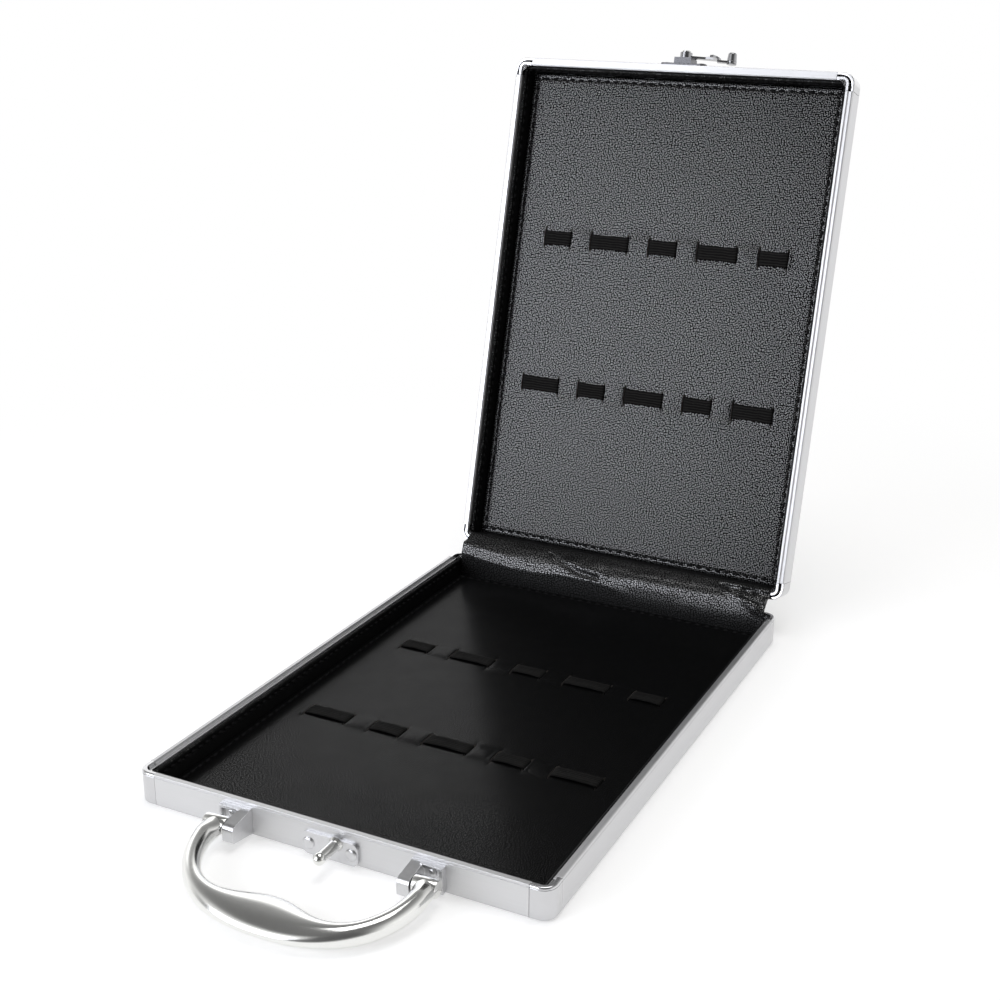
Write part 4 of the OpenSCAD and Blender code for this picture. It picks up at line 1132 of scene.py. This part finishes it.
def gusset_section(x):
    """The strip's line in y and z at x: along the base wall, over the fold, up the lid's edge and down to
    its board."""
    fold = fold_height(x)
    roof = 23.5 + 0.3 * (fold - 16.5)
    creased = [(144.0, 6.8), (144.3, 13.0), (144.5, fold - 0.8), (144.9, fold + 0.1),
               (146.0, fold + 2.6), (147.3, fold + 4.9), (149.2, roof)]
    round_over = [(144.0, 6.8), (144.2, 9.8), (144.7, 13.4), (145.6, 17.0), (146.7, 20.0),
                  (147.9, 22.2), (149.6, 23.8)]
    soft = clamped((x - 2) / 16)
    front = [(a + (c - a) * soft, b + (d - b) * soft) for (a, b), (c, d) in zip(creased, round_over)]
    tail = []
    for inset, above in ((5.1, 2.6), (5.05, 9.6), (5.1, 11.4), (5.6, 12.4)):
        place = lid_stands((0, HALF_D - inset, LID_FACE + above))
        tail.append((place.y, place.z))
    return [(141.0, 3.1), (143.3, 3.2), (143.85, 4.2)] + front + [
        (151.6, 24.9), (153.8, 25.8), (155.6, 26.5), (157.0, 26.95), (158.2, 27.0)] + tail


def gusset_piece():
    """The strip, and the mean length of its section in millimetres."""
    half, thick = GUSSET_HALF, 1.0
    columns = 150
    steps = 110
    top, under, flat, lengths = [], [], [], []
    for c in range(columns + 1):
        x = -half + 2 * half * c / columns
        line, length = smooth_line(gusset_section(x), steps)
        lengths.append(length)
        for i, p in enumerate(line):
            a, b = line[max(i - 1, 0)], line[min(i + 1, steps)]
            d = (b - a).normalized()
            out = Vector((-d.y, d.x))
            free = math.sin(math.pi * i / steps) ** 1.2
            wave = free * (0.3 * noise.noise(Vector((x / 24, p.x / 9, 1.7)))
                           + 0.22 * noise.noise(Vector((x / 7, p.x / 5, 4.2))))
            if SOFT_FROM < p.x < SOFT_TO and SOFT_ABOVE < p.y:
                rising, falling = (p.x - SOFT_FROM) / 0.8, (SOFT_TO - p.x) / 1.2
                wave -= fold_depth(x, p.x) * min(1.0, rising) * min(1.0, falling)
            flat.append((x, length * i / steps))
            for side, layer in ((thick / 2, top), (-thick / 2, under)):
                q = p + out * (side + wave)
                layer.append((x, q.x, q.y))
    rows = steps + 1
    faces = []
    start = len(top)
    for c in range(columns):
        for i in range(steps):
            a, b = c * rows + i, (c + 1) * rows + i
            faces.append((a, b, b + 1, a + 1))
            faces.append((start + a, start + a + 1, start + b + 1, start + b))
    for c in range(columns):
        a, b = c * rows, (c + 1) * rows
        faces.append((a, start + a, start + b, b))
        a, b = a + steps, b + steps
        faces.append((a, b, start + b, start + a))
    for i in range(steps):
        faces.append((i, i + 1, start + i + 1, start + i))
        a = columns * rows + i
        faces.append((a, start + a, start + a + 1, a + 1))
    piece = mesh_from("gusset_soft_strip", top + under, faces, STRIP_LEATHER, sharp=60.0, flat=flat * 2)
    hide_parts("hinge_gusset")
    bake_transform(piece)
    return piece, sum(lengths) / len(lengths)


gusset, gusset_length = gusset_piece()


# Stitching

def stitch_tree():
    """A row of short thick stitches along each line."""
    tree, given, end, (pitch, length, thread) = shape_tree("stitch_row", ("Pitch", "Length", "Thread"))
    spaced = add(tree, "GeometryNodeResampleCurve", {0: given["Geometry"], "Length": pitch}, mode="LENGTH")
    ball = add(tree, "GeometryNodeMeshUVSphere", {"Segments": 8, "Rings": 5, "Radius": 1.0})
    size = add(tree, "ShaderNodeCombineXYZ", {0: thread, 1: thread, 2: length / 2.0})
    stitch = add(tree, "GeometryNodeTransform", {"Geometry": ball.outputs[0], "Scale": size.outputs[0]})
    along = add(tree, "GeometryNodeInputTangent").outputs[0]
    return close_tree(tree, on_points(tree, spaced.outputs[0], stitch, along), given, end)


STITCHES = stitch_tree()


def stitching(name, body, place, lines, pitch):
    """Rows of stitches along lines of points in millimetres, above the half's outer skin."""
    path = curve_from(name, [[place(*spot) * MM for spot in line] for line in lines])
    piece = with_tree(path, STITCHES, {
        "Pitch": pitch * MM, "Length": 3.4 * MM, "Thread": 1.0 * MM, "Finish": THREAD})
    shade(piece.data)
    part_of(piece, body, "leatherette")


def board_ring(inset, height, longer):
    """The four lines of stitches round a board."""
    x, y = HALF_W - BOARD_EDGE - inset, HALF_D - BOARD_EDGE - inset
    corners = [(-x, -y, height), (x, -y, height), (x, y + longer, height), (-x, y + longer, height)]
    return list(zip(corners, corners[1:] + corners[:1]))


def wall_line(height):
    """The three lines of stitches along a lining."""
    sunk, short = 0.28, 14
    u = LINER_U + LINER_T - sunk
    x, y, rear = HALF_W - u, HALF_D - u, HALF_D - short
    return [[(-x, rear, height), (-x, -y + 1, height)], [(-x + 1, -y, height), (x - 1, -y, height)],
            [(x, -y + 1, height), (x, rear, height)]]


for half, place, longer in (("base", base_place, 0.0), ("lid", lid_place, LID_BOARD_LONGER)):
    seam = board_ring(HEM, BOARD_TOP - 0.66, longer)
    stitching(f"{half}_board_stitches", half, place, seam, pitch=5.6)
    stitching(f"{half}_wall_stitches", half, place, wall_line(WALL_SEAM), pitch=5.0)


# Floor, backdrop and light

def seen_directly(tree):
    """One for rays from the camera and for reflections, nought for the light that falls on things."""
    path = add(tree, "ShaderNodeLightPath").outputs
    camera, glossy, through = (
        Amount(tree, path[f"Is {kind} Ray"]) for kind in ("Camera", "Glossy", "Transmission"))
    return camera.at_least(glossy).at_least(through)


def background(tree, tone, strength):
    return add(tree, "ShaderNodeBackground", {"Color": tone, "Strength": strength}).outputs[0]


def studio_world():
    """A white room open at the back; only reflections show its grey ceiling and its darker front."""
    world = bpy.data.worlds.new("studio_world")
    scene.world = world
    world.use_nodes = True
    tree = world.node_tree
    tree.nodes.clear()
    path = add(tree, "ShaderNodeLightPath")
    sight = add(tree, "ShaderNodeSeparateXYZ", {0: add(tree, "ShaderNodeTexCoord").outputs["Generated"]})
    x, y, height = (Amount(tree, sight.outputs[i]) for i in range(3))

    def over_height(*stops):
        return Amount(tree, ramp(tree, height, stops))

    open_side = over_height((0.0, 1.0), (0.12, 0.97), (0.3, 0.78), (0.5, 0.52), (0.62, 0.31),
                            (0.85, 0.14), (1.0, 0.14)) * 1.2
    room_side = over_height((0.0, 0.6), (0.1, 0.26), (0.3, 0.1), (0.8, 0.13), (1.0, 0.2))
    toward_front = (y * -1.6).eased()
    window = over_height((0.3, 0.0), (0.5, 0.9), (0.7, 1.0), (0.82, 0.0))
    window = window * (x * -3.0 + 0.2).eased() * toward_front
    sky = over_height((0.2, 0.0), (0.36, 1.0), (0.5, 1.0), (0.58, 0.0))
    sky = sky * (x * -3.0 - 0.3).eased() * (y * 3.0 - 0.5).eased()
    room = open_side + (room_side - open_side) * toward_front + window + sky * 1.05
    shown = add(tree, "ShaderNodeMixShader", {
        0: path.outputs["Is Camera Ray"], 1: background(tree, room, 1.0),
        2: background(tree, (1, 1, 1, 1), 1.0)})
    mix = add(tree, "ShaderNodeMixShader", {
        0: seen_directly(tree), 1: background(tree, (1.0, 0.99, 0.975, 1), 0.44), 2: shown.outputs[0]})
    add(tree, "ShaderNodeOutputWorld", {0: mix.outputs[0]})


def studio_floor():
    """Pale paper that keeps the case's shadow and is lifted to white where nothing shades it."""
    material = bpy.data.materials.new("pale_floor")
    material.use_nodes = True
    tree = material.node_tree
    tree.nodes.clear()
    paper = add(tree, "ShaderNodeBsdfDiffuse", {"Color": (0.8, 0.8, 0.8, 1)})
    lift = add(tree, "ShaderNodeEmission", {"Color": (1, 1, 1, 1), "Strength": 0.4})
    both = add(tree, "ShaderNodeAddShader", {0: paper.outputs[0], 1: lift.outputs[0]})
    away = add(tree, "ShaderNodeVectorMath", {0: object_place(tree)}, operation="LENGTH").outputs["Value"]
    fade = ((Amount(tree, away) - 0.22) / 0.5).eased()
    white = add(tree, "ShaderNodeEmission", {"Color": (1, 1, 1, 1), "Strength": 1.0})
    sweep = add(tree, "ShaderNodeMixShader", {0: fade, 1: both.outputs[0], 2: white.outputs[0]})
    mix = add(tree, "ShaderNodeMixShader", {
        0: seen_directly(tree), 1: paper.outputs[0], 2: sweep.outputs[0]})
    add(tree, "ShaderNodeOutputMaterial", {0: mix.outputs[0]})
    size, level = 6000, -0.3
    corners = [(x * size, y * size, level) for x, y in ((-1, -1), (1, -1), (1, 1), (-1, 1))]
    floor = mesh_from("studio_floor", corners, [(0, 1, 2, 3)], material)


def softbox(name, at, aim, width, height, power, tint=(1, 1, 1)):
    """A flat rectangular lamp at a place, turned toward its aim; sizes in metres, power in watts."""
    lamp = bpy.data.lights.new(name, "AREA")
    lamp.shape = "RECTANGLE"
    lamp.size, lamp.size_y = width, height
    lamp.energy = power
    lamp.color = tint
    holder = link_piece(name, lamp)
    toward = (Vector(aim) - Vector(at)).normalized()
    holder.matrix_world = Matrix.Translation(at) @ toward.to_track_quat("-Z", "Y").to_matrix().to_4x4()


studio_world()
studio_floor()
softbox("front_softbox", (-0.86, -1.4, 0.56), (0, 0.2, 0.15), width=1.2, height=1.0, power=15.5,
        tint=(0.95, 0.978, 1.055))
softbox("top_softbox", (0.1, 0.1, 1.5), (0, 0, 0.05), width=0.9, height=0.9, power=7.0)


# Camera at the photograph's viewing angle

camera_data = bpy.data.cameras.new("photo_camera")
camera_data.sensor_width = 36.0
camera_data.lens = 53.263
camera_data.shift_x = -0.06392
camera_data.shift_y = -0.02215
camera_data.clip_start = 0.01
camera_data.clip_end = 50
camera = link_piece("photo_camera", camera_data)
# The first three columns are the camera's right, up and back, the last its place
camera.matrix_world = Matrix((
    (0.9055556, -0.1532524, 0.3955789, 0.31751),
    (0.4239066, 0.2906235, -0.8578119, -0.60652),
    (0.0164972, 0.9444849, 0.3281404, 0.36623),
    (0, 0, 0, 1)))
scene.camera = camera
scene.view_settings.view_transform = "Standard"
